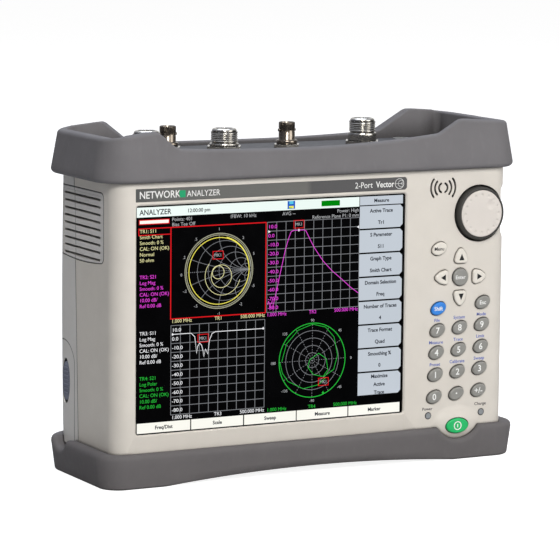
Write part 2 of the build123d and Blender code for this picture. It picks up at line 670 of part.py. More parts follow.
def socket_places():
    """Each low-frequency socket's shell with the hole it needs in the panel."""
    power = rod_z(83, 8, 5.5, 178, 188) - rod_z(83, 8, 3.2, 179, FAR * 2) + rod_z(83, 8, 1.0, 178.5, 187)
    usb = block(92, 105.6, 5.2, 11, 178, 187.2) - block(92.7, 104.9, 5.9, 10.3, 179, FAR * 2)
    usb += block(93.5, 104.1, 8.5, 9.9, 178.5, 186)
    headset = rod_z(83, -8, 3.6, 178, 188) - rod_z(83, -8, 1.8, 179, FAR * 2)
    small_usb = block(94, 102.6, -10, -6, 178, 187.2) - block(94.6, 102, -9.4, -6.6, 179, FAR * 2)
    return [
        (power, rod_z(83, 8, 5.6, 0, FAR * 2)),
        (usb, block(91.9, 105.7, 5.1, 11.1, 0, FAR * 2)),
        (headset, rod_z(83, -8, 3.7, 0, FAR * 2)),
        (small_usb, block(93.9, 102.7, -10.1, -5.9, 0, FAR * 2)),
    ]


def interface_ports():
    return solids(joined([shell for shell, _ in socket_places()]))


def n_connector_bodies():
    """Threaded coaxial jacks of the 16 mm size."""
    jacks = []
    for x, y, top in N_PORTS:
        neck = top - 7.6
        profile = make_face(Polyline(
            (4.9, top), (7.0, top), (7.4, top - 0.4), (7.4, top - 1.6), (N_THREAD_RADIUS, top - 2.0),
            (N_THREAD_RADIUS, neck), (7.2, neck - 0.4), (7.2, neck - 0.9), (8.6, neck - 1.3),
            (8.6, PANEL_TOP + 2.6), (7.0, PANEL_TOP + 2.6), (7.0, 178), (4.4, 178), (4.4, PORT_TAIL),
            (2.0, PORT_TAIL), (2.0, top - 11), (4.9, top - 11), close=True,
        ))
        jacks.append(Pos(x, y, 0) * revolve(Plane.XZ * profile, axis=Axis.Z))
    return solids(joined(jacks))


def bnc_connector_bodies():
    """Bayonet coaxial jacks, each with two pins near its mouth."""
    jacks = []
    for x, y, top in BNC_PORTS:
        profile = make_face(Polyline(
            (4.1, top), (4.5, top), (BNC_BARREL_RADIUS, top - 0.4), (BNC_BARREL_RADIUS, PANEL_TOP + 4.6),
            (6.2, PANEL_TOP + 4.2), (6.2, PANEL_TOP + 2.2), (4.5, PANEL_TOP + 2.2), (4.5, 178), (3.4, 178),
            (3.4, PORT_TAIL), (1.6, PORT_TAIL), (1.6, top - 9), (4.1, top - 9), close=True,
        ))
        jack = revolve(Plane.XZ * profile, axis=Axis.Z)
        for x0, x1 in ((4.4, 5.6), (-5.6, -4.4)):
            jack += rod_x(0, top - 4.6, 0.95, x0, x1)
        jacks.append(Pos(x, y, 0) * jack)
    return solids(joined(jacks))


def ring(x, y, inner, outer, z0, z1):
    return rod_z(x, y, outer, z0, z1) - rod_z(x, y, inner, z0 - 1, z1 + 1)


def connector_insulators():
    rings = [ring(x, y, 1.6, 4.85, top - 10.9, top - 6) for x, y, top in N_PORTS]
    rings += [ring(x, y, 1.1, 2.4, top - 8.9, top - 3) for x, y, top in BNC_PORTS]
    return solids(joined(rings))


def connector_contacts():
    pins = []
    for x, y, top in N_PORTS:
        pins.append(rod_z(x, y, 1.5, PORT_TAIL + 2, top - 3) - rod_z(x, y, 0.8, top - 7, FAR * 2))
    for x, y, top in BNC_PORTS:
        pins.append(rod_z(x, y, 1.05, PORT_TAIL + 2, top - 2.4) - rod_z(x, y, 0.6, top - 6, FAR * 2))
    return solids(joined(pins))


def panel_nuts():
    """The hex nuts that hold the ports on the panel and the encoder in its well."""
    nuts = []
    for x, y, _ in N_PORTS:
        nut = along_z(Pos(x, y) * RegularPolygon(11.0, 6), PANEL_TOP, PANEL_TOP + 2.5)
        nuts.append(nut - rod_z(x, y, 7.0 + SNUG, 0, FAR * 2))
    for x, y, _ in BNC_PORTS:
        nut = along_z(Pos(x, y) * RegularPolygon(8.2, 6), PANEL_TOP, PANEL_TOP + 2.1)
        nuts.append(nut - rod_z(x, y, 4.5 + SNUG, 0, FAR * 2))
    nut = along_y(Pos(KNOB_X, KNOB_Z) * RegularPolygon(7.4, 6), -28.5, WELL_FLOOR)
    nuts.append(nut - rod_y(KNOB_X, KNOB_Z, 4.5 + SNUG, -FAR, FAR))
    return solids(joined(nuts))


def rf_cables():
    """Semi-rigid leads from each port's tail down to the radio module."""
    leads = []
    for x, y, _ in N_PORTS + BNC_PORTS:
        foot = (x * 0.58, y * 0.3, RF_BOX[5])
        path = Spline((x, y, PORT_TAIL), foot, tangents=[(0, 0, -1), (0, 0, -1)])
        leads.append(sweep(Plane((x, y, PORT_TAIL), z_dir=(0, 0, -1)) * Circle(1.1), path=path))
    return solids(joined(leads))


def rf_module():
    """A milled box with a ribbed lid, holding the radio boards."""
    x0, x1, y0, y1, z0, z1 = RF_BOX
    body = chamfer(block(x0, x1, y0, y1 - 2, z0, z1).edges().filter_by(Axis.Y), 2)
    body += block(x0 + 1, x1 - 1, y1 - 2, y1, z0 + 1, z1 - 1)
    for i in range(5):
        z = z0 + 12 + 12.5 * i
        body -= block(x0 + 8, x1 - 8, y1 - 0.8, y1 + 1, z, z + 6)
    return body


# ------------------------------------------------------------------ inner frame and main board
def chassis():
    """A folded sheet that carries the display in front and the boards behind."""
    body = block(-118, 84, -27, -25.5, 21, 168)
    body += block(-105, 84, -25.5, -12, 166.5, 168)
    body += block(-118, 84, -25.5, 8, 21, 22.5)
    for x, z in BOARD_PLACES:
        body += rod_y(x, z, 3.0, -25.5, -22.05)
    for x, z in RF_STANDS:
        body += rod_y(x, z, 2.5, -25.5, RF_BOX[2] - 0.05)
    return body


def main_board():
    """The processor board with its shield cans, memory and connectors."""
    board = block(-105, 80, -22, -20.4, 26, 160)
    for x, z in RF_STANDS:
        board -= rod_y(x, z, 2.7, -FAR, 0)
    shield_cans = [(-90, -66, 60, 96, 3.5), (-90, -66, 104, 140, 3.5), (-40, -8, 44, 74, 4.5)]
    chips = [(6, 34, 96, 124, 3.0), (40, 48, 96, 124, 1.6), (38, 46, 60, 88, 1.6)]
    sockets = [(66, 76, 44, 78, 5.0), (-30, 20, 28, 33, 5.0)]
    for x0, x1, z0, z1, tall in shield_cans + chips + sockets:
        board += block(x0, x1, -20.4, -20.4 + tall, z0, z1)
    return board


# ------------------------------------------------------------------ tilt bail
def tilt_bail():
    """A U-shaped prop that folds flat into the back and swings out from its top hinge."""
    arm, bar = 11.0, 14.0
    frame = outline(
        (-BAIL_HALF, BAIL_LOW), (BAIL_HALF, BAIL_LOW), (BAIL_HALF, BAIL_AXIS_Z),
        (BAIL_HALF - arm, BAIL_AXIS_Z), (BAIL_HALF - arm, BAIL_LOW + bar), (arm - BAIL_HALF, BAIL_LOW + bar),
        (arm - BAIL_HALF, BAIL_AXIS_Z), (-BAIL_HALF, BAIL_AXIS_Z),
    )
    half = BAIL_THICK / 2
    plate = along_y(frame, BAIL_AXIS_Y - half, BAIL_AXIS_Y + half)
    corners = plate.edges().filter_by(Axis.Y).group_by(Axis.Z)
    plate = fillet(corners[0] + corners[1], 6.0)
    for x0, x1 in ((-BAIL_HALF, arm - BAIL_HALF), (BAIL_HALF - arm, BAIL_HALF)):
        plate += rod_x(BAIL_AXIS_Y, BAIL_AXIS_Z, 1.9, x0, x1)
        plate -= rod_x(BAIL_AXIS_Y, BAIL_AXIS_Z, BAIL_PIN_RADIUS + RUNNING, x0 - 1, x1 + 1)
    return plate


def bail_hinge_pins():
    near, far = BAIL_PIN_X
    spans = ((-far, -near), (near, far))
    return solids(joined([rod_x(BAIL_AXIS_Y, BAIL_AXIS_Z, BAIL_PIN_RADIUS, *span) for span in spans]))


# ------------------------------------------------------------------ every node
def nodes():
    shell = case_shell()
    made = {"front_case": front_case(shell), "rear_case": rear_case(shell)}
    for build in (top_bumper, bottom_bumper, title_strip, display_window, display_gasket, lcd_panel,
                  lcd_frame, keypad_mat, keypad_board, knob_rim, knob_cap, encoder_body, encoder_shaft,
                  led_light_pipes, speaker, vent_grille, fan_frame, fan_rotor, connector_panel,
                  n_connector_bodies, bnc_connector_bodies, connector_insulators, connector_contacts,
                  panel_nuts, interface_ports, rf_cables, rf_module, main_board, chassis, battery_pack,
                  battery_contacts, battery_door, battery_door_grip, tilt_bail, bail_hinge_pins,
                  case_screws, bumper_screws):
        made[build.__name__] = build()
    for name, (x, z, shape) in key_places().items():
        made[name] = key(name, x, z, shape)
    return made


os.makedirs("parts", exist_ok=True)
for node, shape in nodes().items():
    export_step(shape, f"parts/{node}.step")
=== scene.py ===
"""Looks for a hand-carried vector network analyzer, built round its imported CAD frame.

Lengths below are millimetres in the CAD frame (+X right, -Y towards the operator, +Z up),
and become metres where a mesh is made.
"""
import math

import bmesh
import bpy
from mathutils import Matrix, Vector

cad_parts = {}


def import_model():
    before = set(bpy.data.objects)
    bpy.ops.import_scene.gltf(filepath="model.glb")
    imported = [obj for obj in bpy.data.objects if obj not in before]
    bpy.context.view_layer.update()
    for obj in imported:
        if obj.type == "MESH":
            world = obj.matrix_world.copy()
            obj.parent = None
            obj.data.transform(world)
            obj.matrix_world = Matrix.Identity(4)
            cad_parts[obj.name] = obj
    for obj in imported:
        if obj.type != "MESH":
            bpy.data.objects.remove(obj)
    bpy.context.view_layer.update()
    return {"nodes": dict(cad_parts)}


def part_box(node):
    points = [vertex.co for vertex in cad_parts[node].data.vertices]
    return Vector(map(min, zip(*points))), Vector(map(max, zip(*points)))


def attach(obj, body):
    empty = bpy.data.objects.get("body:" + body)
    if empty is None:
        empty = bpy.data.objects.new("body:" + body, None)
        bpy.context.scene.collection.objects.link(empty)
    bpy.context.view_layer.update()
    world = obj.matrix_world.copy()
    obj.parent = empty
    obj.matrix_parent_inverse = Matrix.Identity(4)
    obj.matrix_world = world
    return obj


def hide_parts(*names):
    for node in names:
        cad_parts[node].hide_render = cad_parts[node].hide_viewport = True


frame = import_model()
NODES = frame["nodes"]
MM = 0.001


# camera: a long lens, looking from the front left and a little above
CAMERA_YAW, CAMERA_PITCH, CAMERA_ROLL = -27.79, 7.83, 0.53      # degrees
CAMERA_DISTANCE = 1842.0
CAMERA_TARGET = Vector((-3.07, 0.0, 107.78))
CAMERA_LENS, CAMERA_SENSOR = 201.2, 36.0


def low(node):
    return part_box(node)[0] / MM


def high(node):
    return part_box(node)[1] / MM


def middle(node):
    return (low(node) + high(node)) / 2


# ------------------------------------------------------------------ materials
def srgb(red, green, blue):
    """A colour given as display values from 0 to 255, in linear light."""
    def linear(value):
        value /= 255
        return value / 12.92 if value <= 0.04045 else ((value + 0.055) / 1.055) ** 2.4
    return (linear(red), linear(green), linear(blue), 1.0)


def scaled(colour, factor):
    return tuple(channel * factor for channel in colour[:3]) + (1.0,)


class Nodes:
    """Adds nodes to a material's or the world's tree."""

    def __init__(self, tree):
        self.tree = tree

    def node(self, kind, links=None, **values):
        made = self.tree.nodes.new(kind)
        for name, value in values.items():
            setattr(made, name, value)
        for socket, source in (links or {}).items():
            if isinstance(source, bpy.types.NodeSocket):
                self.tree.links.new(source, made.inputs[socket])
            else:
                made.inputs[socket].default_value = source
        return made

    def maths(self, operation, *values):
        return self.node("ShaderNodeMath", dict(enumerate(values)), operation=operation).outputs[0]

    def axes(self, place):
        split = self.node("ShaderNodeSeparateXYZ", {"Vector": place})
        return [split.outputs[axis] for axis in "XYZ"]

    def remap(self, value, to_low, to_high, from_low=0.3, from_high=0.7):
        links = {"Value": value, "From Min": from_low, "From Max": from_high,
                 "To Min": to_low, "To Max": to_high}
        return self.node("ShaderNodeMapRange", links).outputs[0]

    def mix(self, factor, first, second, blend="MIX"):
        links = {0: factor, 6: first, 7: second}
        return self.node("ShaderNodeMix", links, data_type="RGBA", blend_type=blend).outputs[2]

    def ramp(self, share, stops, interpolation="LINEAR"):
        """A colour that follows (share, colour) stops."""
        made = self.node("ShaderNodeValToRGB", {"Fac": share})
        made.color_ramp.interpolation = interpolation
        elements = made.color_ramp.elements
        for element, (position, colour) in zip((elements[0], elements[1]), (stops[0], stops[-1])):
            element.position, element.color = position, colour
        for position, colour in stops[1:-1]:
            elements.new(position).color = colour
        return made.outputs["Color"]


class Field:
    """A number that varies over a surface. It holds a node's output, and ordinary sums work on it."""

    def __init__(self, nodes, socket):
        self.nodes, self.socket = nodes, socket

    def then(self, operation, *others):
        values = [other.socket if isinstance(other, Field) else other for other in others]
        return Field(self.nodes, self.nodes.maths(operation, self.socket, *values))

    def __add__(self, other):
        return self.then("ADD", other)

    def __sub__(self, other):
        return self.then("SUBTRACT", other)

    def __mul__(self, other):
        return self.then("MULTIPLY", other)

    def __pow__(self, power):
        return self.then("POWER", power)

    def __abs__(self):
        return self.then("ABSOLUTE")


class Finish(Nodes):
    """A material while it is put together: a Principled shader and the nodes that feed it."""

    def __init__(self, name, roughness=0.5, metallic=0.0, specular=0.5):
        self.material = bpy.data.materials.new(name)
        self.material.use_nodes = True
        super().__init__(self.material.node_tree)
        self.shader = self.tree.nodes["Principled BSDF"]
        self.set("Roughness", roughness)
        self.set("Metallic", metallic)
        self.set("Specular IOR Level", specular)
        self.place = self.node("ShaderNodeTexCoord").outputs["Object"]
        self.normal = None

    def set(self, socket, value):
        self.shader.inputs[socket].default_value = value

    def feed(self, socket, output):
        self.tree.links.new(output, self.shader.inputs[socket])

    def stretched(self, factors):
        """The place, multiplied along each axis."""
        links = {0: self.place, 1: factors}
        return self.node("ShaderNodeVectorMath", links, operation="MULTIPLY").outputs[0]

    def noise(self, size_mm, detail=3.0, stretch=(1, 1, 1)):
        """Noise whose features are about size_mm across."""
        place = self.stretched(tuple(factor / (size_mm * MM) for factor in stretch))
        links = {"Vector": place, "Scale": 1.0, "Detail": detail}
        return self.node("ShaderNodeTexNoise", links).outputs["Fac"]

    def millimetres(self):
        """X, Y and Z over the surface."""
        return [Field(self, axis) for axis in self.axes(self.stretched((1 / MM,) * 3))]

    def bump(self, height, depth_mm):
        links = {"Height": height, "Distance": depth_mm * MM, "Strength": 1.0}
        if self.normal is not None:
            links["Normal"] = self.normal
        self.normal = self.node("ShaderNodeBump", links).outputs[0]

    def round_edges(self, radius_mm):
        """Softens the light on hard edges, as a moulded or machined edge does."""
        self.normal = self.node("ShaderNodeBevel", {"Radius": radius_mm * MM}, samples=6).outputs[0]

    def mottle(self, colour, spread, size_mm):
        """The base colour, a little lighter and darker from place to place."""
        share = self.remap(self.noise(size_mm, 4.0), 0.0, 1.0)
        base = self.mix(share, scaled(colour, 1 - spread), scaled(colour, 1 + spread))
        self.feed("Base Color", base)
        return base

    def dark_crevices(self, base, reach_mm=1.4, depth=0.2):
        """Paints shade into the base colour where light can't reach, in narrow gaps and hollows."""
        links = {"Distance": reach_mm * MM, "Color": (1, 1, 1, 1)}
        open_share = self.node("ShaderNodeAmbientOcclusion", links, samples=6).outputs["AO"]
        share = self.remap(open_share, 0.0, 1.0, 0.3, 0.92)
        shaded = self.mix(1.0, base, (depth, depth * 0.95, depth * 0.9, 1.0), "MULTIPLY")
        crevice_shade_painted = self.mix(share, shaded, base)
        self.feed("Base Color", crevice_shade_painted)
        return crevice_shade_painted

    def dark_line(self, base, away, half_mm=0.5, depth=0.42):
        """Paints a shadow line into the base colour along a parting line, as shade falls in the gap. away is
        how far from the line a place is.
        """
        share = self.remap(away.socket, 1.0, 0.0, half_mm / 2, half_mm)
        lined = self.mix(share, base, self.mix(1.0, base, (depth, depth, depth, 1.0), "MULTIPLY"))
        self.feed("Base Color", lined)
        return lined

    def vary_roughness(self, centre, spread, size_mm):
        self.feed("Roughness", self.remap(self.noise(size_mm, 3.0), centre - spread, centre + spread))

    def done(self):
        if self.normal is not None:
            self.feed("Normal", self.normal)
        return self.material


# parting lines on the case's left-hand wall, along which shadow lines are painted
SEAM_SLOPE = 0.039
SEAM_Y = 9.6 - 20 * SEAM_SLOPE                      # where the shells' parting plane meets the floor
LEFT_WALL_X = -120.0                                  # nothing further right belongs to the wall
DOOR_ARCH_Y, DOOR_ARCH_Z, DOOR_ARCH_RADIUS = 30.23, 60.79, 15.80
DOOR_SHOULDER_Z = 65.0                                # the arch starts here, above the straight edge
VENT_FRONT, VENT_REAR, VENT_BOTTOM, VENT_TOP = -25.0, 32.5, 127.0, 166.7
VENT_CORNER, VENT_SAG = 3.5, 1.5
VENT_PAST_REAR = 30.0                                 # the outline has no rear side on the wall


def on_left_wall(away, x, y, rear):
    """Keeps a line to the left-hand wall, ahead of rear."""
    return away.then("MAXIMUM", (x - LEFT_WALL_X).then("MAXIMUM", y - rear))


def shell_seam(x, y, z):
    """How far away the plane is where the case's two shells meet."""
    return abs(y - z * SEAM_SLOPE - SEAM_Y)


def door_edge(x, y, z):
    """How far away the battery door's front edge and arched top are."""
    arch = abs(((y - DOOR_ARCH_Y) ** 2 + (z - DOOR_ARCH_Z) ** 2) ** 0.5 - DOOR_ARCH_RADIUS)
    straight = abs(y - low("battery_door").y)
    above = z.then("GREATER_THAN", DOOR_SHOULDER_Z)
    return on_left_wall(straight + (arch - straight) * above, x, y, high("battery_door").y)


def vent_edge(x, y, z):
    """How far away the vent grille's rounded outline is, with its sagging lower edge."""
    middle_z = (VENT_BOTTOM + VENT_TOP) / 2
    sag_middle, sag_half = 5.0, 30.0
    sag = ((y - sag_middle) * (1 / sag_half)) ** 2 * -VENT_SAG + VENT_SAG
    z += sag * z.then("LESS_THAN", middle_z)
    beyond = []
    for value, start, end in ((y, VENT_FRONT, VENT_REAR + VENT_PAST_REAR), (z, VENT_BOTTOM, VENT_TOP)):
        beyond.append(abs(value - (start + end) / 2) - ((end - start) / 2 - VENT_CORNER))
    in_y, in_z = beyond
    outside = (in_y.then("MAXIMUM", 0.0) ** 2 + in_z.then("MAXIMUM", 0.0) ** 2) ** 0.5
    inside = in_y.then("MAXIMUM", in_z).then("MINIMUM", 0.0)
    return on_left_wall(abs(outside + inside - VENT_CORNER), x, y, VENT_REAR)


def moulded(name, colour, roughness=0.5, grain=0.02, grain_size=0.45, edge=0.35, spread=0.025, lines=()):
    """Injection-moulded plastic: spark-eroded grain, faint mottling, soft edges, painted shade in its
    crevices and painted shadow lines along its parting lines.
    """
    finish = Finish(name, roughness, specular=0.4)
    finish.round_edges(edge)
    # painted shade in the plastic's crevices and round its keys
    base = finish.dark_crevices(finish.mottle(colour, spread, 14))
    for line in lines:
        # painted shadow along each parting line
        base = finish.dark_line(base, line(*finish.millimetres()))
    finish.vary_roughness(roughness, 0.05, 5)
    finish.bump(finish.noise(grain_size, 2.0), grain)
    return finish.done()


def rubber(name, colour, roughness=0.72, reach=14.0):
    """Dull elastomer: matt grain over a slight unevenness, paler scuffs, and shade in its hollows."""
    finish = Finish(name, roughness, specular=0.16)
    finish.round_edges(0.5)
    base = finish.mottle(colour, 0.05, 22)
    scuffs = finish.remap(finish.noise(3.2, 5.0, (1, 1, 0.35)), 0.0, 0.16, 0.56, 0.78)
    # painted shade in the rubber's hollows, over the scuffs
    finish.dark_crevices(finish.mix(scuffs, base, scaled(colour, 1.5)), reach)
    finish.vary_roughness(roughness, 0.07, 4)
    finish.bump(finish.noise(0.5, 2.0), 0.03)
    finish.bump(finish.noise(9.0, 2.0), 0.05)
    return finish.done()


def metal(name, colour, roughness=0.25, streak=(1, 1, 8), edge=0.12, tarnish=0.25):
    """Machined and plated metal: turning marks across the axis, and a little tarnish."""
    finish = Finish(name, roughness, metallic=1.0)
    finish.round_edges(edge)
    marks = finish.noise(0.9, 3.0, streak)
    share = finish.remap(finish.noise(2.6, 4.0), 0.0, tarnish)
    # painted shade in the grooves of the thread and knurl, over the tarnish
    finish.dark_crevices(finish.mix(share, colour, scaled(colour, 0.45)), 0.9, 0.15)
    finish.feed("Roughness", finish.remap(marks, roughness - 0.08, roughness + 0.12))
    finish.bump(marks, 0.012)
    return finish.done()


def silicone_key(name, colour, painted_glow=0.0):
    """Silicone under a thin hard coat: satin, with painted shade in the gap round it, and on some keys a
    faint painted glow although they are not lit.
    """
    roughness = 0.38
    finish = Finish(name, roughness)
    finish.round_edges(0.5)
    # painted shade in the gap round the key
    finish.dark_crevices(finish.mottle(colour, 0.05, 3), 1.0)
    finish.vary_roughness(roughness, 0.06, 1.5)
    finish.set("Coat Weight", 0.25)
    finish.set("Coat Roughness", 0.3)
    # painted glow: the key is no lamp, the emission only brightens its colour
    finish.set("Emission Color", colour)
    finish.set("Emission Strength", painted_glow)
    finish.bump(finish.noise(0.35, 2.0), 0.01)
    return finish.done()


def screen_ink(name, colour):
    """Light from the display: steady colour with a faint pixel grid and a slow fall in brightness."""
    pixel_pitch = 0.21
    finish = Finish(name, 0.6, specular=0.0)
    finish.set("Base Color", scaled(colour, 0.02))
    x, _, z = finish.millimetres()
    across, up = ((way * (2 * math.pi / pixel_pitch)).then("SINE") for way in (x, z))
    level = finish.remap((across + up).socket, 0.97, 1.0, -2.0, 2.0)
    slow = finish.remap(finish.noise(60, 1.0), 0.97, 1.02)
    finish.set("Emission Color", colour)
    finish.feed("Emission Strength", finish.maths("MULTIPLY", level, slow))
    return finish.done()


def printed_ink(name, colour, roughness=0.5):
    """Pad-printed ink: a thin satin film with slightly uneven cover."""
    finish = Finish(name, roughness, specular=0.3)
    finish.mottle(colour, 0.06, 0.8)
    finish.vary_roughness(roughness, 0.08, 0.6)
    return finish.done()


STRIP_STOPS = [(0.0, srgb(76, 78, 77)), (0.1, srgb(96, 97, 94)), (0.62, srgb(102, 101, 98)),
               (0.64, srgb(80, 79, 80)), (1.0, srgb(84, 83, 84))]


def strip_film(name):
    """The title strip's printed film: a grey ground that fades in from the left and then steps darker."""
    finish = Finish(name, 0.42, specular=0.35)
    finish.round_edges(0.3)
    x = finish.millimetres()[0]
    share = finish.remap(x.socket, 0.0, 1.0, low("title_strip").x, high("title_strip").x)
    speckle = finish.remap(finish.noise(0.5, 2.0), 0.95, 1.05)
    grey = finish.node("ShaderNodeCombineColor", {0: speckle, 1: speckle, 2: speckle}).outputs[0]
    finish.feed("Base Color", finish.mix(1.0, finish.ramp(share, STRIP_STOPS), grey, "MULTIPLY"))
    finish.vary_roughness(0.42, 0.05, 2)
    return finish.done()


def display_glass(name):
    """The unlit part of the display: deep black under a hard-coated pane with faint dust."""
    finish = Finish(name, 0.22, specular=0.012)
    finish.mottle(srgb(4, 4, 5), 0.3, 12)
    finish.feed("Roughness", finish.remap(finish.noise(6, 5.0), 0.18, 0.34))
    return finish.done()


def circuit_board(name):
    """Green solder mask with paler copper runs showing through."""
    finish = Finish(name, 0.45, specular=0.5)
    finish.round_edges(0.2)
    runs = finish.node("ShaderNodeTexBrick", {"Vector": finish.place, "Scale": 260.0, "Mortar Size": 0.03,
                                              "Color1": srgb(20, 84, 52), "Color2": srgb(24, 98, 60),
                                              "Mortar": srgb(70, 130, 80)})
    finish.feed("Base Color", runs.outputs["Color"])
    finish.bump(runs.outputs["Fac"], 0.03)
    return finish.done()


FINISHES = {
    "case": moulded("case_plastic", srgb(214, 208, 199), lines=(shell_seam,)),
    "rear": moulded("rear_case_plastic", srgb(212, 209, 205), lines=(shell_seam, door_edge, vent_edge)),
    "rubber": rubber("bumper_rubber", srgb(114, 112, 114)),
    # a darker copy of the bumper rubber: painted shade on the less-lit bottom bumper
    "shaded_rubber": rubber("bottom_bumper_shaded_rubber", srgb(106, 103, 104), reach=1.0),
    "strip": strip_film("title_strip_film"),
    "glass": display_glass("display_glass"),
    "black": moulded("black_plastic", srgb(32, 32, 34), 0.5, edge=0.2),
    "foam": moulded("gasket_foam", srgb(40, 40, 42), 0.9, grain=0.08, grain_size=0.7),
    "key_grey": silicone_key("key_grey", srgb(138, 137, 132)),
    "key_cream": silicone_key("key_cream", srgb(224, 218, 208)),
    # the shift and power keys get a faint painted glow
    "key_blue": silicone_key("key_blue", srgb(30, 124, 214), 0.05),
    "key_green": silicone_key("key_green", srgb(0, 182, 98), 0.04),
    "silicone": silicone_key("keypad_silicone", srgb(120, 120, 122)),
    "knob_dark": moulded("knob_rubber", srgb(60, 59, 56), 0.6, grain=0.03, edge=0.3, spread=0.06),
    "knob_cream": moulded("knob_cap_plastic", srgb(217, 210, 203), 0.5, grain=0.012, edge=0.25),
    "lens": silicone_key("led_lens", srgb(138, 142, 145)),
    "grip": rubber("grip_rubber", srgb(136, 140, 156), 0.7, 0.6),
    "panel": moulded("panel_paint", srgb(60, 60, 62), 0.6, grain=0.03, edge=0.3),
    "nickel": metal("nickel_plate", srgb(204, 200, 192), 0.16, tarnish=0.15),
    "warm_nickel": metal("warm_nickel_plate", srgb(144, 134, 122), 0.2, tarnish=0.6),
    "gold": metal("gold_plate", srgb(222, 176, 92), 0.25),
    "copper": metal("copper_coax", srgb(190, 120, 84), 0.3),
    "steel": metal("zinc_steel", srgb(176, 176, 172), 0.34),
    "sheet": metal("sheet_metal", srgb(186, 188, 190), 0.38, streak=(6, 1, 1)),
    "ptfe": moulded("ptfe", srgb(236, 234, 228), 0.35, grain=0.004),
    "board": circuit_board("circuit_board"),
    "cell_wrap": moulded("battery_plastic", srgb(46, 47, 52), 0.5),
    "bail": moulded("bail_plastic", srgb(96, 95, 98), 0.55),
}

NODE_FINISH = {
    "front_case": "case", "rear_case": "rear", "vent_grille": "rear", "battery_door": "rear",
    "title_strip": "strip", "display_window": "glass", "display_gasket": "foam", "lcd_panel": "black",
    "lcd_frame": "sheet", "keypad_mat": "silicone", "keypad_board": "board", "encoder_body": "steel",
    "encoder_shaft": "steel", "led_light_pipes": "lens", "speaker": "black", "fan_frame": "black",
    "fan_rotor": "black", "connector_panel": "panel", "connector_insulators": "ptfe",
    "connector_contacts": "gold", "panel_nuts": "nickel", "interface_ports": "steel",
    "rf_cables": "copper", "rf_module": "sheet", "main_board": "board", "chassis": "sheet",
    "battery_pack": "cell_wrap", "battery_contacts": "black", "battery_door_grip": "grip",
    "tilt_bail": "bail", "bail_hinge_pins": "steel", "case_screws": "steel", "bumper_screws": "steel",
    "top_bumper": "rubber", "bottom_bumper": "shaded_rubber", "knob_rim": "knob_dark", "knob_cap": "knob_cream",
    "n_connector_bodies": "nickel", "bnc_connector_bodies": "warm_nickel",
}
KEY_FINISH = {"key_shift": "key_blue", "power_button": "key_green", "key_menu": "key_cream"}


def finish_nodes():
    """Gives every CAD node its material. Keys are grey unless they are named, and arrows are cream."""
    for name, node in NODES.items():
        key = NODE_FINISH.get(name) or KEY_FINISH.get(name)
        if key is None:
            key = "key_cream" if name.startswith("arrow") else "key_grey"
        node.data.materials.clear()
        node.data.materials.append(FINISHES[key])


# ------------------------------------------------------------------ mesh helpers
def placed(name, data):
    """A new object in the scene."""
    made = bpy.data.objects.new(name, data)
    bpy.context.scene.collection.objects.link(made)
    return made


def mesh_in_mm(name, points, faces):
    mesh = bpy.data.meshes.new(name)
    mesh.from_pydata([tuple(c * MM for c in point) for point in points], [], faces)
    return mesh


def flattened(rows):
    return [point for row in rows for point in row]


def add_piece(name, body, finish, points, faces, smooth=True, crease_degrees=35):
    """A mesh in millimetres becomes a piece that rides on a body."""
    mesh = mesh_in_mm(name, points, faces)
    shape = bmesh.new()
    shape.from_mesh(mesh)
    bmesh.ops.recalc_face_normals(shape, faces=shape.faces)
    shape.to_mesh(mesh)
    shape.free()
    piece = placed(name, mesh)
    mesh.materials.append(finish)
    if smooth:
        mesh.shade_smooth()
        mesh.set_sharp_from_angle(angle=math.radians(crease_degrees))
    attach(piece, body)
    return piece


def joined_rows(rows, close_rows=False):
    """Faces between rows of points, each row being a closed loop of the same length."""
    count = len(rows[0])
    faces = []
    last = len(rows) if close_rows else len(rows) - 1
    for row in range(last):
        a, b = row * count, (row + 1) % len(rows) * count
        for i in range(count):
            j = (i + 1) % count
            faces.append((a + i, a + j, b + j, b + i))
    return faces


def arc_points(centre, radius, start, end, steps):
    """Points on an arc, with angles in degrees."""
    turns = [math.radians(start + (end - start) * i / steps) for i in range(steps + 1)]
    return [(centre[0] + radius * math.cos(t), centre[1] + radius * math.sin(t)) for t in turns]


def circle(radius, steps):
    """Points round a circle, without its first point again at the end."""
    return arc_points((0, 0), radius, 0, 360 - 360 / steps, steps - 1)


def lathe(name, body, finish, profile, place, axis="Z", steps=72, radius_at=None, crease=35):
    """Turns a closed (radius, height) profile round an axis. radius_at(r, h, angle) may vary the radius."""
    rows = []
    for radius, height in profile:
        row = []
        for i in range(steps):
            angle = 2 * math.pi * i / steps
            r = radius_at(radius, height, angle) if radius_at else radius
            u, v = r * math.cos(angle), r * math.sin(angle)
            if axis == "Z":
                row.append((place[0] + u, place[1] + v, place[2] + height))
            else:
                row.append((place[0] + u, place[1] - height, place[2] + v))
        rows.append(row)
    return add_piece(name, body, finish, flattened(rows), joined_rows(rows, True),
                     crease_degrees=crease)


# ------------------------------------------------------------------ bumpers
RING_HALF_X = high("top_bumper").x
RING_HALF_Y = high("top_bumper").y
RING_CORNER, TUB_FRONT_CORNER, CASE_CORNER = 19.0, 14.5, 10.6
CASE_GAP = 0.1
CASE_HALF_X = high("front_case").x + CASE_GAP
CASE_FACE, CASE_REAR = -41.5, high("rear_case").y
CASE_CROWN, CROWN_Z, CROWN_HALF = 2.5, 96.0, 88.0         # how far the rear's ends fall away
WELL_HALF_X, WELL_HALF_Y, WELL_CORNER = 124.7, 36.5, 4.0
BUMPER_SCREW_X = 95

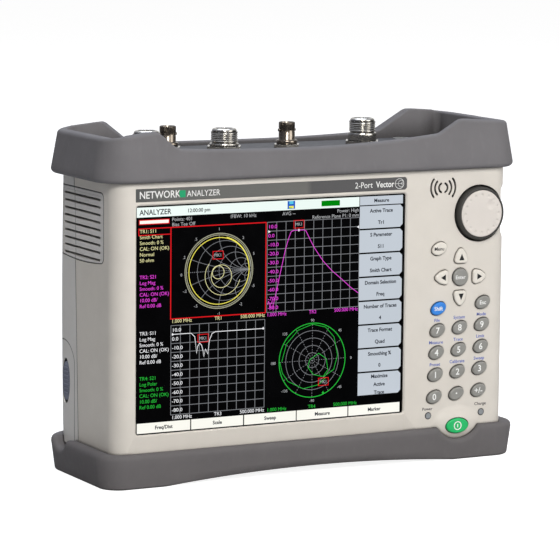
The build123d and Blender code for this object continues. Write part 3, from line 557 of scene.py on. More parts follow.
# (x, height) points on the top bumper's rims. Each rim's low part curves up from its bottom
# through left and right, and its ears start at left_ear and right_ear
LEFT_EAR_END, RIGHT_EAR_END = (-133, 198.2), (140, 199.9)
FRONT_RIM = {"left_ear": (-104, 201.9), "left_foot": (-88, 191.9), "left": (-91, 192.0),
             "bottom": (-12, 189.9), "right": (79, 194.8), "right_ear": (94, 203.0)}
REAR_RIM = {"left_ear": (-99, 201.6), "left_foot": (-81, 188.4), "left": (-86, 188.4),
            "bottom": (0, 187.8), "right": (81, 190.0), "right_ear": (102, 203.0)}


def ring_stations(xs, side_steps=36, corner_steps=18):
    """Places round a rounded rectangle, anticlockwise from the front left, as
    (share along x, share along y, outward x, outward y)."""
    ys = [2 * i / side_steps - 1 for i in range(1, side_steps)]
    turns = [math.radians(90 * i / corner_steps) for i in range(corner_steps + 1)]
    places = [(x, -1, 0, -1) for x in xs]
    places += [(1, -1, math.sin(t), -math.cos(t)) for t in turns[1:]]
    places += [(1, y, 1, 0) for y in ys]
    places += [(1, 1, math.cos(t), math.sin(t)) for t in turns]
    places += [(x, 1, 0, 1) for x in reversed(xs[:-1])]
    places += [(-1, 1, -math.sin(t), math.cos(t)) for t in turns[1:]]
    places += [(-1, y, -1, 0) for y in reversed(ys)]
    places += [(-1, -1, -math.cos(t), -math.sin(t)) for t in turns[:-1]]
    return places


def rounded_point(place, half_x, front, rear, front_corner, rear_corner, z):
    """On a rounded rectangle from front to rear, with its own radius at either end."""
    along_x, along_y, out_x, out_y = place
    corner = front_corner if along_y < 0 else rear_corner
    share = (along_y + 1) / 2
    y = (front + front_corner) * (1 - share) + (rear - rear_corner) * share + out_y * corner
    return (along_x * (half_x - corner) + out_x * corner, y, z)


def ring_point(place, inset, z, front_corner=RING_CORNER):
    """On the bumper's outline, drawn in by inset."""
    half_x, half_y = RING_HALF_X - inset, RING_HALF_Y - inset
    return rounded_point(place, half_x, -half_y, half_y, front_corner - inset, RING_CORNER - inset, z)


def case_point(place, z):
    """On the case's outline, where the bumper touches it. The rear of the case is crowned."""
    rear = CASE_REAR - CASE_CROWN * ((z - CROWN_Z) / CROWN_HALF) ** 2 + CASE_GAP
    return rounded_point(place, CASE_HALF_X, CASE_FACE - CASE_GAP, rear, CASE_CORNER, CASE_CORNER, z)


def well_point(place, inset, z):
    """On the wall of the hollow, whose corners are tighter than the outside's, drawn out by inset."""
    corner, half_y = WELL_CORNER + inset, WELL_HALF_Y + inset
    return rounded_point(place, WELL_HALF_X + inset, -half_y, half_y, corner, corner, z)


def smoothed(height, reach=1.8, steps=6):
    """A height function with its corners rounded off by averaging over +-reach."""
    def mean(x):
        return sum(height(x + reach * i / steps) for i in range(-steps, steps + 1)) / (2 * steps + 1)
    return mean


def ease(share):
    share = min(1.0, max(0.0, share))
    return share * share * (3 - 2 * share)


def slope(x, start, end):
    """Height at x on the line through two (x, height) points."""
    return start[1] + (end[1] - start[1]) * (x - start[0]) / (end[0] - start[0])


def rim_height(x, rim, soft_left):
    """Height of one of the top bumper's rims: low between two ears, whose tops fall away outwards.
    soft_left eases the drop from the left-hand ear."""
    if x < rim["left_ear"][0]:
        return slope(max(x, LEFT_EAR_END[0]), LEFT_EAR_END, rim["left_ear"])
    if x > rim["right_ear"][0]:
        return slope(x, rim["right_ear"], RIGHT_EAR_END)
    if x < rim["left_foot"][0]:
        (start_x, start_z), (end_x, end_z) = rim["left_ear"], rim["left_foot"]
        share = (x - start_x) / (end_x - start_x)
        return start_z + (end_z - start_z) * (ease(share) if soft_left else share)
    if x < rim["right"][0]:
        low_x, low_z = rim["bottom"]
        far_x, far_z = rim["left"] if x < low_x else rim["right"]
        return low_z + (far_z - low_z) * ((x - low_x) / (far_x - low_x)) ** 2
    return slope(x, rim["right"], rim["right_ear"])


def screw_recesses(piece, z):
    """Bores the two recesses that a bumper's screw heads sit in, from behind."""
    seat, back, radius, sides = 43.0, 50.0, 3.2, 36
    for x in (-BUMPER_SCREW_X, BUMPER_SCREW_X):
        rows = [[(x + u, y, z + v) for u, v in circle(radius, sides)] for y in (seat, back)]
        faces = joined_rows(rows) + [tuple(range(sides)), tuple(range(2 * sides - 1, sides - 1, -1))]
        mesh = mesh_in_mm("bore", flattened(rows), faces)
        cutter = placed("bore", mesh)
        cut = piece.modifiers.new("bore", "BOOLEAN")
        cut.operation, cut.solver, cut.object = "DIFFERENCE", "EXACT", cutter
        bpy.context.view_layer.update()
        old = piece.data
        evaluated = piece.evaluated_get(bpy.context.evaluated_depsgraph_get())
        piece.data = bpy.data.meshes.new_from_object(evaluated)
        piece.modifiers.clear()
        piece.data.name = old.name + "_bored"
        bpy.data.meshes.remove(old)
        bpy.data.objects.remove(cutter)
        bpy.data.meshes.remove(mesh)
    piece.data.set_sharp_from_angle(angle=math.radians(50))


def top_bumper():
    """A hollow ring round the case's head. Its outer wall leans in, and its rim is rounded."""
    steps = 190
    places = ring_stations([2 * i / steps - 1 for i in range(steps + 1)])
    front_rim = smoothed(lambda x: rim_height(x, FRONT_RIM, soft_left=True))
    rear_rim = smoothed(lambda x: rim_height(x, REAR_RIM, soft_left=False))
    foot, waist, shelf = 173.5, 176.3, 184.1
    foot_round = waist - foot
    lean = 4.8 / 26.7                          # how far in the wall goes for each millimetre up
    crown, inner = 4.0, 9.0                    # how far in the rim is measured, and ends
    outer_round, inner_round = 2.4, 1.2
    rows = []

    def row(point):
        rows.append([point(place) for place in places])

    def rim(place):
        x, y, _ = ring_point(place, crown, 0)
        return (rear_rim if y > 0 else front_rim)(x)

    row(lambda p: case_point(p, foot))
    for inset, z in arc_points((foot_round, waist), foot_round, 270, 180, 6):
        row(lambda p, inset=inset, z=z: ring_point(p, inset, z))
    for share in (0.2, 0.4, 0.6, 0.8, 1.0):
        def wall(p, share=share):
            z = waist + share * (rim(p) - outer_round - waist)
            return ring_point(p, lean * (z - waist), z)
        row(wall)
    for right, up in arc_points((0, 0), 1.0, 172, 90, 7):
        def lip(p, right=right, up=up):
            top = rim(p)
            start = lean * (top - outer_round - waist)
            width = min(outer_round, inner - inner_round - start)
            return ring_point(p, start + width * (1 + right), top - outer_round * (1 - up))
        row(lip)
    for right, up in arc_points((0, 0), 1.0, 90, 0, 5):
        def inside(p, right=right, up=up):
            return well_point(p, inner_round * (1 - right), rim(p) - inner_round * (1 - up))
        row(inside)
    for share in (0.5, 1.0):
        def well_wall(p, share=share):
            top = rim(p) - inner_round
            return well_point(p, 0, top - share * (top - shelf))
        row(well_wall)
    row(lambda p: case_point(p, shelf))
    piece = add_piece("top_bumper_rubber", "case", FINISHES["rubber"], flattened(rows),
                      joined_rows(rows, True), crease_degrees=50)
    screw_recesses(piece, 179)
    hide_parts("top_bumper")


def bottom_bumper():
    """A tub that the case stands in, dipped for the power button and the battery door."""
    button_dip, button_dip_z, button_dip_radius = 94.5, 29.1, 16.4
    door_dip, door_dip_z, door_dip_radius = 21.5, 24.9, 11.0
    half = RING_HALF_X - TUB_FRONT_CORNER
    steps, side_steps, corner_steps, dip_steps = 150, 120, 24, 64
    dip_start, dip_end = 72.0 / half, 116.0 / half          # where the front needs finer steps
    xs = [2 * i / steps - 1 for i in range(steps + 1)]
    xs = [x for x in xs if not dip_start < x < dip_end]
    xs += [dip_start + (dip_end - dip_start) * i / dip_steps for i in range(1, dip_steps)]
    xs.sort()
    places = ring_stations(xs, side_steps, corner_steps)
    rim_top, wall_top, toe, floor_top = 20.3, 17.0, 1.8, 7.9
    bevel = rim_top - wall_top
    wall_lean, toe_inset = 2.0, 1.6
    arch_x, arch_half, arch_height = -2.5, 94.5, 4.4        # the underside between the feet
    rows = []

    def tub_point(place, inset, z):
        return ring_point(place, inset, z, TUB_FRONT_CORNER)

    def underside(place):
        """How far the underside is raised between the feet."""
        share = min(1.0, abs(tub_point(place, 0, 0)[0] - arch_x) / arch_half)
        return arch_height * (1 - share * share)

    def dip(across, centre, height, radius, level, depth):
        grown = radius + depth
        if abs(across - centre) >= grown:
            return level
        return min(level, height - math.sqrt(grown ** 2 - (across - centre) ** 2))

    def rim(place, depth):
        """Height of the line that lies depth below the rim's edge, measured across the edge."""
        x, y, _ = tub_point(place, 0, 0)
        level = rim_top - depth
        if y < -RING_HALF_Y + 1:
            return dip(x, button_dip, button_dip_z, button_dip_radius, level, depth)
        if x < -RING_HALF_X + 8 and y > 0:
            return dip(y, door_dip, door_dip_z, door_dip_radius, level, depth)
        return level

    def lean(z):
        return wall_lean * max(0.0, wall_top - z) / (wall_top - toe)

    def row(point):
        rows.append([point(place) for place in places])

    row(lambda p: case_point(p, floor_top))
    row(lambda p: case_point(p, rim(p, 0.6)))
    for inset, depth in ((3.9, 0.0), (3.2, 0.0), (2.3, 0.1), (1.6, 0.35), (1.0, 0.75), (0.5, 1.35),
                         (0.15, 2.1), (0.0, 3.5)):
        def lip(p, inset=inset, depth=depth):
            z = rim(p, depth)
            return tub_point(p, inset + lean(z), z)
        row(lip)
    for share in (0.75, 0.5, 0.25, 0.0):
        def wall(p, share=share):
            bottom = underside(p) + toe
            z = bottom + share * (rim(p, bevel) - bottom)
            return tub_point(p, lean(z), z)
        row(wall)
    for right, up in arc_points((0, 0), 1.0, 180, 270, 6)[1:]:
        def foot(p, right=right, up=up):
            return tub_point(p, wall_lean + toe_inset * (1 + right), underside(p) + toe * (1 + up))
        row(foot)

    faces = joined_rows(rows)
    count, front = len(places), len(xs)
    under = (len(rows) - 1) * count
    rear_start = front + side_steps - 1 + 2 * corner_steps    # the rear station behind the front's last
    faces.append(tuple(range(count)))
    for i in range(front - 1):
        a, b = under + i, under + i + 1
        c = under + rear_start + (front - 1 - i)
        faces.append((a, b, c - 1, c))
    faces.append(tuple(under + i for i in range(front - 1, rear_start + 1)))
    faces.append(tuple(under + i for i in list(range(rear_start + front - 1, count)) + [0]))
    piece = add_piece("bottom_bumper_rubber", "case", FINISHES["shaded_rubber"],
                      flattened(rows), faces, crease_degrees=50)
    screw_recesses(piece, 12)
    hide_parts("bottom_bumper")


# ------------------------------------------------------------------ flat shapes: print, screen and legends
INK = 0.03                  # how thick a flat shape is


class Flat:
    """Flat shapes of one colour, gathered into one thin solid piece that faces the operator."""

    def __init__(self, name, body, slot, finish, face_y):
        self.name, self.body, self.slot, self.finish = name, body, slot, finish
        self.face, self.back = face_y, face_y + INK
        self.points, self.faces = [], []

    def strip(self, left, right, closed=False):
        """A thin solid between two lines of points of the same length."""
        count, start = len(left), len(self.points)
        for y in (self.face, self.back):
            for line in (left, right):
                self.points += [(x, y, z) for x, z in line]
        a, b, c, d = (start + k * count for k in range(4))
        for i in range(count if closed else count - 1):
            j = (i + 1) % count
            self.faces += [(a + i, a + j, b + j, b + i), (c + i, d + i, d + j, c + j),
                           (a + i, c + i, c + j, a + j), (b + i, b + j, d + j, d + i)]
        if not closed:
            for i in (0, count - 1):
                self.faces.append((a + i, b + i, d + i, c + i))

    def line(self, points, width, closed=False):
        left, right = [], []
        count = len(points)
        for i, (x, z) in enumerate(points):
            before = points[(i - 1) % count] if closed or i else (x, z)
            after = points[(i + 1) % count] if closed or i < count - 1 else (x, z)
            first = Vector((x - before[0], z - before[1]))
            second = Vector((after[0] - x, after[1] - z))
            first = first.normalized() if first.length else second.normalized()
            second = second.normalized() if second.length else first
            way = first + second
            way = way.normalized() if way.length > 1e-6 else first
            reach = width / 2 / max(0.5, way.dot(first))
            left.append((x - way.y * reach, z + way.x * reach))
            right.append((x + way.y * reach, z - way.x * reach))
        self.strip(left, right, closed)

    def polygon(self, outline):
        count, start = len(outline), len(self.points)
        for y in (self.face, self.back):
            self.points += [(x, y, z) for x, z in outline]
        self.faces.append(tuple(range(start, start + count)))
        self.faces.append(tuple(range(start + 2 * count - 1, start + count - 1, -1)))
        for i in range(count):
            j = (i + 1) % count
            self.faces.append((start + i, start + count + i, start + count + j, start + j))

    def bar(self, x0, x1, z0, z1):
        self.polygon([(x0, z0), (x1, z0), (x1, z1), (x0, z1)])

    def frame(self, x0, x1, z0, z1, width):
        self.line([(x0, z0), (x1, z0), (x1, z1), (x0, z1)], width, closed=True)

    def ring(self, x, z, radius, width, steps=72):
        self.line([(x + u, z + v) for u, v in circle(radius, steps)], width, closed=True)

    def arc(self, x, z, radius, start, end, width, steps=32):
        self.line(arc_points((x, z), radius, start, end, steps), width)

    def dashes(self, x0, z0, x1, z1, width, dash=0.6, gap=0.6):
        length = math.hypot(x1 - x0, z1 - z0)
        ux, uz = (x1 - x0) / length, (z1 - z0) / length
        at = 0.0
        while at < length - dash:
            self.line([(x0 + ux * at, z0 + uz * at), (x0 + ux * (at + dash), z0 + uz * (at + dash))], width)
            at += dash + gap

    def text(self, words, x, z, size, align="LEFT", bold=0.0, stretch=1.0, vertical="TOP_BASELINE"):
        """Words at x; z is their baseline, or their middle when vertical is CENTER."""
        curve = bpy.data.curves.new("words", "FONT")
        curve.body = words
        curve.size = size
        curve.align_x = align
        curve.align_y = vertical
        curve.offset = bold
        curve.resolution_u = 3
        curve.extrude = abs(self.back - self.face) / 2
        holder = placed("words", curve)
        bpy.context.view_layer.update()
        evaluated = holder.evaluated_get(bpy.context.evaluated_depsgraph_get())
        mesh = bpy.data.meshes.new_from_object(evaluated)
        start, level = len(self.points), (self.face + self.back) / 2
        self.points += [(x + v.co.x * stretch, level - v.co.z, z + v.co.y) for v in mesh.vertices]
        self.faces += [tuple(start + i for i in face.vertices) for face in mesh.polygons]
        bpy.data.objects.remove(holder)
        bpy.data.meshes.remove(mesh)
        bpy.data.curves.remove(curve)

    def build(self):
        piece = add_piece(self.name, self.body, self.finish, self.points, self.faces, smooth=False)
        shape = bmesh.new()
        shape.from_mesh(piece.data)
        bmesh.ops.remove_doubles(shape, verts=shape.verts, dist=1e-7)
        shape.to_mesh(piece.data)
        shape.free()
        return piece


# ------------------------------------------------------------------ screen
SCREEN_Y = low("display_window").y
LAYER = 0.04                # how far each layer lies in front of the one before
TEXT_SIZE, SMALL_TEXT, LINE_STEP, TEXT_LEFT = 2.9, 2.3, 3.28, -113.1
CAP_HALF = 1.0              # half the height of a capital letter
SCREEN_COLOURS = {
    # the layer, counted towards the operator, and the colour
    "plate": (1, 196, 204, 213), "header": (1, 240, 253, 248), "white_bar": (1, 253, 252, 243),
    "grid": (1, 128, 130, 134), "grey_text": (2, 176, 178, 180), "yellow": (3, 246, 236, 96),
    "pale": (3, 232, 228, 168), "white": (3, 246, 247, 250), "magenta": (3, 232, 72, 222),
    "green": (3, 40, 186, 60), "red": (4, 222, 28, 34), "dark": (3, 34, 38, 48),
    "ring": (2, 166, 166, 142), "blue": (2, 32, 92, 196), "cyan": (3, 90, 200, 236),
    "battery": (2, 0, 132, 12),
}


def screen_layers():
    """One thin piece for each colour on the screen."""
    layers = {}
    for key, (level, *colour) in SCREEN_COLOURS.items():
        finish = screen_ink("screen_" + key, srgb(*colour))
        layers[key] = Flat("screen_" + key, "case", "lcd_black", finish, SCREEN_Y - LAYER * level)
    return layers


def screen_text(layer, words, x, z, align="LEFT", stretch=1.0, size=TEXT_SIZE, bold=0.0):
    """Words whose capitals are centred on z."""
    layer.text(words, x, z - CAP_HALF, size, align, bold, stretch)


def text_block(layer, lines, top):
    for index, words in enumerate(lines):
        screen_text(layer, words, TEXT_LEFT, top - LINE_STEP * index)


def axis_row(layer, trace, z, left, right, centre):
    screen_text(layer, "1.000 MHz", left, z)
    screen_text(layer, trace, centre, z, "CENTER")
    screen_text(layer, "500.000 MHz", right, z, "RIGHT")


def marker(layers, x, z):
    """A small red box round the marker's name."""
    layers["red"].frame(x, x + 6.5, z, z + 4.4, 0.4)
    screen_text(layers["grey_text"], "MK1", x + 3.25, z + 2.3, "CENTER", 0.95, 2.6)


def plot_grid(layers, x0, x1, z0, z1):
    for i in range(11):
        x, z = x0 + (x1 - x0) * i / 10, z0 + (z1 - z0) * i / 10
        layers["grid"].line([(x, z0), (x, z1)], 0.34)
        layers["grid"].line([(x0, z), (x1, z)], 0.34)


def level_labels(layer, x, top, step):
    for i, value in enumerate(range(10, -90, -10)):
        screen_text(layer, f"{value:.1f}", x, top - step * i, stretch=1.16)


def diamond(layer, x, z, size=1.1):
    layer.polygon([(x, z + size), (x - size * 0.7, z), (x, z - size), (x + size * 0.7, z)])


def triangle(layer, x, z, turn):
    layer.polygon(arc_points((x, z), 1.0, turn, turn + 240, 2))


def screen_header(layers):
    layers["header"].bar(-114.9, 27.5, 154.1, 159.7)
    layers["dark"].text("ANALYZER", -113.2, 155.4, 4.3, bold=0.06, stretch=0.92)
    screen_text(layers["dark"], "12:00:00 pm", -83.5, 156.8, bold=0.05)
    x0, x1, z0, z1 = -19.6, -14.75, 154.75, 159.3
    layers["blue"].bar(x0, x1, z0, z1)
    layers["cyan"].bar(x0 + 1.1, x1 - 1.1, z1 - 1.8, z1)
    layers["yellow"].bar(x0 + 0.9, x1 - 0.9, z0 + 0.3, z0 + 1.7)
    layers["green"].bar(x0 + 0.9, x1 - 2.3, z0 + 0.3, z0 + 1.0)
    layers["battery"].bar(2.5, 14.6, 155.3, 158.5)
    layers["white_bar"].bar(-113.1, -95.1, 150.4, 152.3)
    layers["red"].frame(-113.3, -94.9, 150.2, 152.5, 0.5)
    upper, lower = 152.2, 149.3
    for words, x, z, align in (("Points: 401", -93.1, upper, "LEFT"), ("Bias Tee Off", -93.1, lower, "LEFT"),
                               ("IFBW: 10 kHz", -56.2, upper, "LEFT"), ("AVG --", -22.9, upper, "LEFT"),
                               ("Power: High", 27.4, upper, "RIGHT"),
                               ("Reference Plane P1: 0 mm", 27.3, lower, "RIGHT")):
        screen_text(layers["grey_text"], words, x, z, align)


def smith_chart(layers):
    """Top left: circles of constant resistance and arcs of constant reactance."""
    layers["red"].frame(-93.7, -33.4, 95.6, 147.7, 0.6)
    x, z, radius = -63.25, 121.4, 20.6
    grid, yellow, pale, ring = layers["grid"], layers["yellow"], layers["pale"], layers["ring"]
    ring.ring(x, z, 21.5, 0.5)
    ring.ring(x, z, radius, 0.4)
    right = x + radius
    for resistance in (0.2, 0.5, 1, 2, 5):
        reach = radius / (1 + resistance)
        grid.ring(right - reach, z, reach, 0.26, 56)
    for reactance in (0.2, 0.5, 1, 2, 5):
        reach = radius / reactance
        sweep = math.degrees(2 * math.atan(reactance))
        for side in (1, -1):
            grid.arc(right, z + side * reach, reach, -90 * side, -side * (90 + sweep), 0.26, 24)
    grid.dashes(x - radius, z, right, z, 0.35)
    yellow.ring(x, z, 19.1, 0.42)
    yellow.arc(x - 0.35, z + 0.2, 19.5, -60, 75, 0.5)
    pale.ring(-63.8, 120.6, 3.75, 0.36, 40)
    pale.ring(-61.75, 118.25, 6.5, 0.32, 48)
    pale.arc(-60.9, 118.6, 11.2, 140, 345, 0.3)
    labels = {"1": 90, "2": 50, "5": 22, ".5": 128, ".2": 158, "0": 182, "-.2": 205, "-.5": 232,
              "-1": 270, "-2": 306, "-5": 337}
    for words, angle in labels.items():
        u, v = math.cos(math.radians(angle)) * 23.8, math.sin(math.radians(angle)) * 24.2
        screen_text(layers["grey_text"], words, x + u, z + v, "CENTER", size=SMALL_TEXT)
    marker(layers, -67.2, 128.3)
    axis_row(pale, "TR1", 94.3, -93.1, -33.7, -63.5)


def stop_band_plot(layers):
    """Top right: a peak that falls away in two long slopes."""
    plot_grid(layers, -32.5, 27.7, 95.6, 147.7)
    magenta = layers["magenta"]
    level_labels(magenta, -32.0, 145.1, 5.2)
    noise = [(-32 + 0.5 * i, 100.2 + 4.4 * math.sin(i * 2.4) * math.cos(i * 0.9)) for i in range(9)]
    rise = [(-27.1, 104.5), (-24.6, 115.3), (-20.8, 131.2), (-18.75, 137.8), (-17.1, 141.6), (-15.4, 142.25)]
    fall = [(-8.75, 142.25), (-7.5, 141.6), (-4.6, 136.2), (-1.7, 131.2), (4.2, 123.25), (10, 117.4),
            (16.7, 112), (22.5, 107), (27.6, 103.4)]
    magenta.line(noise + rise + fall, 0.36)
    triangle(layers["white"], -31.4, 142.25, 0)
    triangle(layers["white"], 27.0, 142.25, 60)
    diamond(layers["white"], -12.1, 142.25, 0.9)
    marker(layers, -15.4, 143.5)
    axis_row(magenta, "TR2", 94.3, -32.5, 27.3, -2.6)


def notch_plot(layers):
    """Bottom left: a flat line with a group of sharp notches."""
    plot_grid(layers, -93.4, -33.7, 40.6, 91.75)
    white = layers["white"]
    level_labels(white, -92.8, 89.2, 5.1)
    trace = [(-92.8, 86.75), (-80.75, 86.75), (-78.4, 84.5), (-77.2, 74.9), (-76.6, 78.7), (-75.3, 80.75),
             (-74.1, 79.5), (-73.25, 76.6), (-72.6, 72.8), (-71.6, 77), (-70.1, 74.1), (-69.1, 82),
             (-67.4, 85.75), (-65.3, 86.6), (-34.5, 86.5)]
    white.line(trace, 0.36)
    triangle(white, -92.3, 86.75, 0)
    diamond(white, -34.7, 86.6, 0.9)
    marker(layers, -76.4, 81.2)
    axis_row(white, "TR3", 39.1, -92.8, -33.7, -63.5)


def polar_plot(layers):
    """Bottom right: a looping trace on polar axes."""
    x, z = -2.5, 65.9
    grid, green = layers["grid"], layers["green"]
    for i in range(1, 5):
        grid.ring(x, z, 4.333 * i, 0.3, 56)
    green.ring(x, z, 21.7, 0.5)
    for turn in range(0, 180, 30):
        u, v = math.cos(math.radians(turn)) * 21.4, math.sin(math.radians(turn)) * 21.4
        grid.dashes(x - u, z - v, x + u, z + v, 0.28, 0.8, 0.8)
    for value in (180, 135, 90, 45, 0, -45, -90, -135):
        u, v = math.cos(math.radians(value)) * 25.6, math.sin(math.radians(value)) * 23.6
        screen_text(layers["grey_text"], str(value), x + u, z + v, "CENTER", size=SMALL_TEXT)
    outer = [(-22.5, 66.2), (-19.5, 76.5), (-12, 84), (-2.5, 87), (6, 84.8), (11.7, 78.7), (14.2, 67.8),
             (11.7, 59.5), (5, 55.75), (-1.7, 57.4), (-5.4, 62), (-4.2, 66.2), (1.7, 69.7), (6.7, 66.2),
             (7.9, 59.5), (5, 56.2)]
    inner = [(-23.75, 66.2), (-22, 59.5), (-18.3, 54.5), (-8.3, 49.5), (1.7, 51.2), (6.7, 55.3)]
    green.line(outer, 0.34)
    green.line(inner, 0.34)
    diamond(green, 4.8, 46.2)
    marker(layers, 1.7, 50.6)
    axis_row(green, "TR4", 38.8, -32.0, 27.3, -2.6)


SOFTKEYS = [("Active Trace", "Tr1"), ("S Parameter", "S11"), ("Graph Type", "Smith Chart"),
            ("Domain Selection", "Freq"), ("Number of Traces", "4"), ("Trace Format", "Quad"),
            ("Smoothing %", "0"), ("Maximize", "Active", "Trace")]


def soft_keys(layers):
    """The menu down the right of the screen, and the five buttons along its foot."""
    x0, x1, cut = 27.9, 56.6, 1.7
    height, pitch, first_top = 13.1, 14.04, 154.1
    middle_x = (x0 + x1) / 2
    layers["plate"].bar(x0, x1, 154.7, 159.7)
    screen_text(layers["dark"], "Measure", middle_x, 157.2, "CENTER", bold=0.07)
    for index, lines in enumerate(SOFTKEYS):
        top = first_top - pitch * index
        base = top - height
        layers["plate"].polygon([(x0, base), (x1 - cut, base), (x1, base + cut), (x1, top - cut),
                                 (x1 - cut, top), (x0, top)])
        drops = (2.9, 9.8) if len(lines) == 2 else (2.25, 7.1, 11.9)
        for words, drop in zip(lines, drops):
            screen_text(layers["dark"], words, middle_x, top - drop, "CENTER", 0.98, 3.0, 0.08)
    spans = ((-114.5, -81.0), (-80.3, -47.2), (-46.5, -12.9), (-12.3, 21.25), (21.9, 56.25))
    for (left, right), words in zip(spans, ("Freq/Dist", "Scale", "Sweep", "Measure", "Marker")):
        layers["white_bar"].bar(left, right, 31.2, 37.0)
        screen_text(layers["dark"], words, (left + right) / 2, 34.1, "CENTER", bold=0.08)


def screen():
    layers = screen_layers()
    screen_header(layers)
    blocks = (("pale", "TR1: S11", "Smith Chart", 146.2), ("magenta", "TR2: S21", "Log Mag", 120.3),
              ("white", "TR3: S11", "Log Mag", 88.3), ("green", "TR4: S21", "Log Polar", 62.6))
    for key, title, kind, top in blocks:
        lines = [title, kind, "Smooth: 0 %", "CAL: ON (OK)"]
        lines += ["Normal", "50 ohm"] if kind == "Smith Chart" else ["10.00 dB/", "Ref 0.00 dB"]
        text_block(layers[key], lines, top)
    layers["red"].frame(-113.6, -93.7, 144.0, 147.7, 0.5)
    smith_chart(layers)
    stop_band_plot(layers)
    notch_plot(layers)
    polar_plot(layers)
    soft_keys(layers)
    for layer in layers.values():
        layer.build()


# ------------------------------------------------------------------ print on the case and legends on the keys
def print_on_case(name, ink, colour, face_y):
    """A layer of print that is filled and then built. face_y is the surface it lies on."""
    return Flat(name, "case", "strip_film", printed_ink(ink, srgb(*colour)), face_y - INK)


def title_words():
    left, right = low("title_strip").x, high("title_strip").x
    face, base = low("title_strip").y, middle("title_strip").z
    white = print_on_case("title_strip_words", "strip_ink_white", (232, 232, 230), face)
    foot = base - 1.7
    white.text("NETWORK", left + 2.0, base - 1.8, 5.8, bold=0.06, stretch=0.88)
    white.text("ANALYZER", left + 31.6, foot, 4.9, stretch=0.86)
    white.text("2-Port", right - 34.6, foot, 5.0, stretch=0.9)
    white.text("Vector", right - 20.6, foot, 5.0, bold=0.09, stretch=0.86)
    globe_x, radius = right - 4.9, 2.9
    white.ring(globe_x, base, radius, 0.28, 40)
    for share in (0.35, 0.72):
        white.ring(globe_x + radius * share, base, radius * (1 - share), 0.2, 28)
    white.line([(globe_x - radius, base), (globe_x + radius, base)], 0.2)
    white.build()
    square = print_on_case("title_strip_square", "strip_ink_green", (24, 156, 104), face)
    square.bar(left + 26.9, left + 30.7, base - 2.0, base + 2.0)
    square.build()


def captions():
    """Second functions printed above the number keys, and the names of the two lamps."""
    blue = print_on_case("key_captions", "caption_ink_blue", (74, 98, 184), CASE_FACE)
    rows = {789: ("File", "System", "Mode"), 456: ("Measure", "Trace", "Limit"),
            123: ("Preset", "Calibrate", "Sweep")}
    for digits, names in rows.items():
        for digit, words in zip(str(digits), names):
            place = middle("key_" + digit)
            blue.text(words, place.x - 0.1, place.z + 5.15, 2.7, "CENTER", bold=0.03, stretch=1.04)
    blue.build()
    grey = print_on_case("lamp_captions", "caption_ink_grey", (60, 58, 62), CASE_FACE)
    lamp_radius = 1.75
    power, charge = low("led_light_pipes"), high("led_light_pipes")
    for words, x, z, stretch in (("Power", power.x + lamp_radius, power.z + lamp_radius + 3.6, 1.05),
                                 ("Charge", charge.x - lamp_radius, charge.z - lamp_radius + 4.0, 1.1)):
        grey.text(words, x - 0.6, z, 2.5, "CENTER", bold=0.03, stretch=stretch)
    grey.build()


def legend_on(key, ink):
    """A layer of print on a key, that rides on it."""
    return Flat(key + "_legend", key, "key_cream", ink, low(key).y - INK)


def key_legends():
    """White or dark print on each key."""
    white = printed_ink("legend_ink_white", srgb(238, 238, 236))
    dark = printed_ink("legend_ink_dark", srgb(22, 22, 24))
    legends = {f"key_{digit}": (str(digit), 5.3, 0.08) for digit in range(10)}
    legends.update({"key_point": ("·", 8.0, 0.05), "key_plus_minus": ("+/-", 4.8, 0.08),
                    "key_shift": ("Shift", 3.3, 0.06), "key_escape": ("Esc", 3.4, 0.06),
                    "key_menu": ("Menu", 3.0, 0.05), "key_enter": ("Enter", 3.1, 0.04)})
    for key, (words, size, bold) in legends.items():
        place = middle(key)
        legend = legend_on(key, dark if key == "key_menu" else white)
        legend.text(words, place.x - 0.5, place.z - 0.1, size, "CENTER", bold, vertical="CENTER")
        legend.build()
    for arrow, (way_x, way_z), (shift_x, shift_z) in (("arrow_up", (0, 1), (0.1, -0.7)),
                                                      ("arrow_down", (0, -1), (0.3, 0.7)),
                                                      ("arrow_left", (-1, 0), (0.7, 0.0)),
                                                      ("arrow_right", (1, 0), (-0.1, 0.0))):
        x, z = middle(arrow).x + shift_x, middle(arrow).z + shift_z
        length, half = (1.95, 1.7) if way_z else (1.6, 1.85)
        legend = legend_on(arrow, dark)
        legend.polygon([(x + way_x * length, z + way_z * length)]
                       + [(x - way_x * length - side * way_z * half, z - way_z * length + side * way_x * half)
                          for side in (1, -1)])
        legend.build()
    place = middle("power_button")
    legend = legend_on("power_button", white)
    legend.ring(place.x, place.z, 2.35, 0.62, 48)
    legend.line([(place.x, place.z - 1.0), (place.x, place.z + 1.0)], 0.6)
    legend.build()


# ------------------------------------------------------------------ knob
KNOB_CAP_RADIUS = 14.0


def knob_rim():
    """The knob's flared rubber rim, turned from its cross-section."""
    centre, cap = middle("knob_cap"), KNOB_CAP_RADIUS
    edge = (high("knob_rim").x - low("knob_rim").x) / 2
    gap, flare, wall, shaft, hub = 0.12, cap + 0.9, 2.0, 3.05, 5.5
    seat, web, hub_foot, foot = -3.2, -5.2, -12.0, -16.9
    rim = [(cap + gap, -0.5), (cap + 0.3, -0.25), (cap + 0.7, -0.3)]
    rim += [(flare + (edge - flare) * math.sin(math.radians(a)), -4.6 + 4.2 * math.cos(math.radians(a)))
            for a in range(5, 91, 8)]
    rim += [(edge, -8.0), (edge, -12.0), (edge, foot + 0.5), (edge - 0.4, foot), (edge - 1.8, foot),
            (edge - wall, foot + 0.4), (edge - wall, web), (hub + 0.5, web), (hub, web - 0.3),
            (hub, hub_foot), (shaft, hub_foot), (shaft, seat), (cap + gap, seat)]
    piece = lathe("knob_rim_rubber", "knob", FINISHES["knob_dark"], rim,
                  (centre.x, low("knob_cap").y, centre.z), "Y", 96)
    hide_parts("knob_rim")


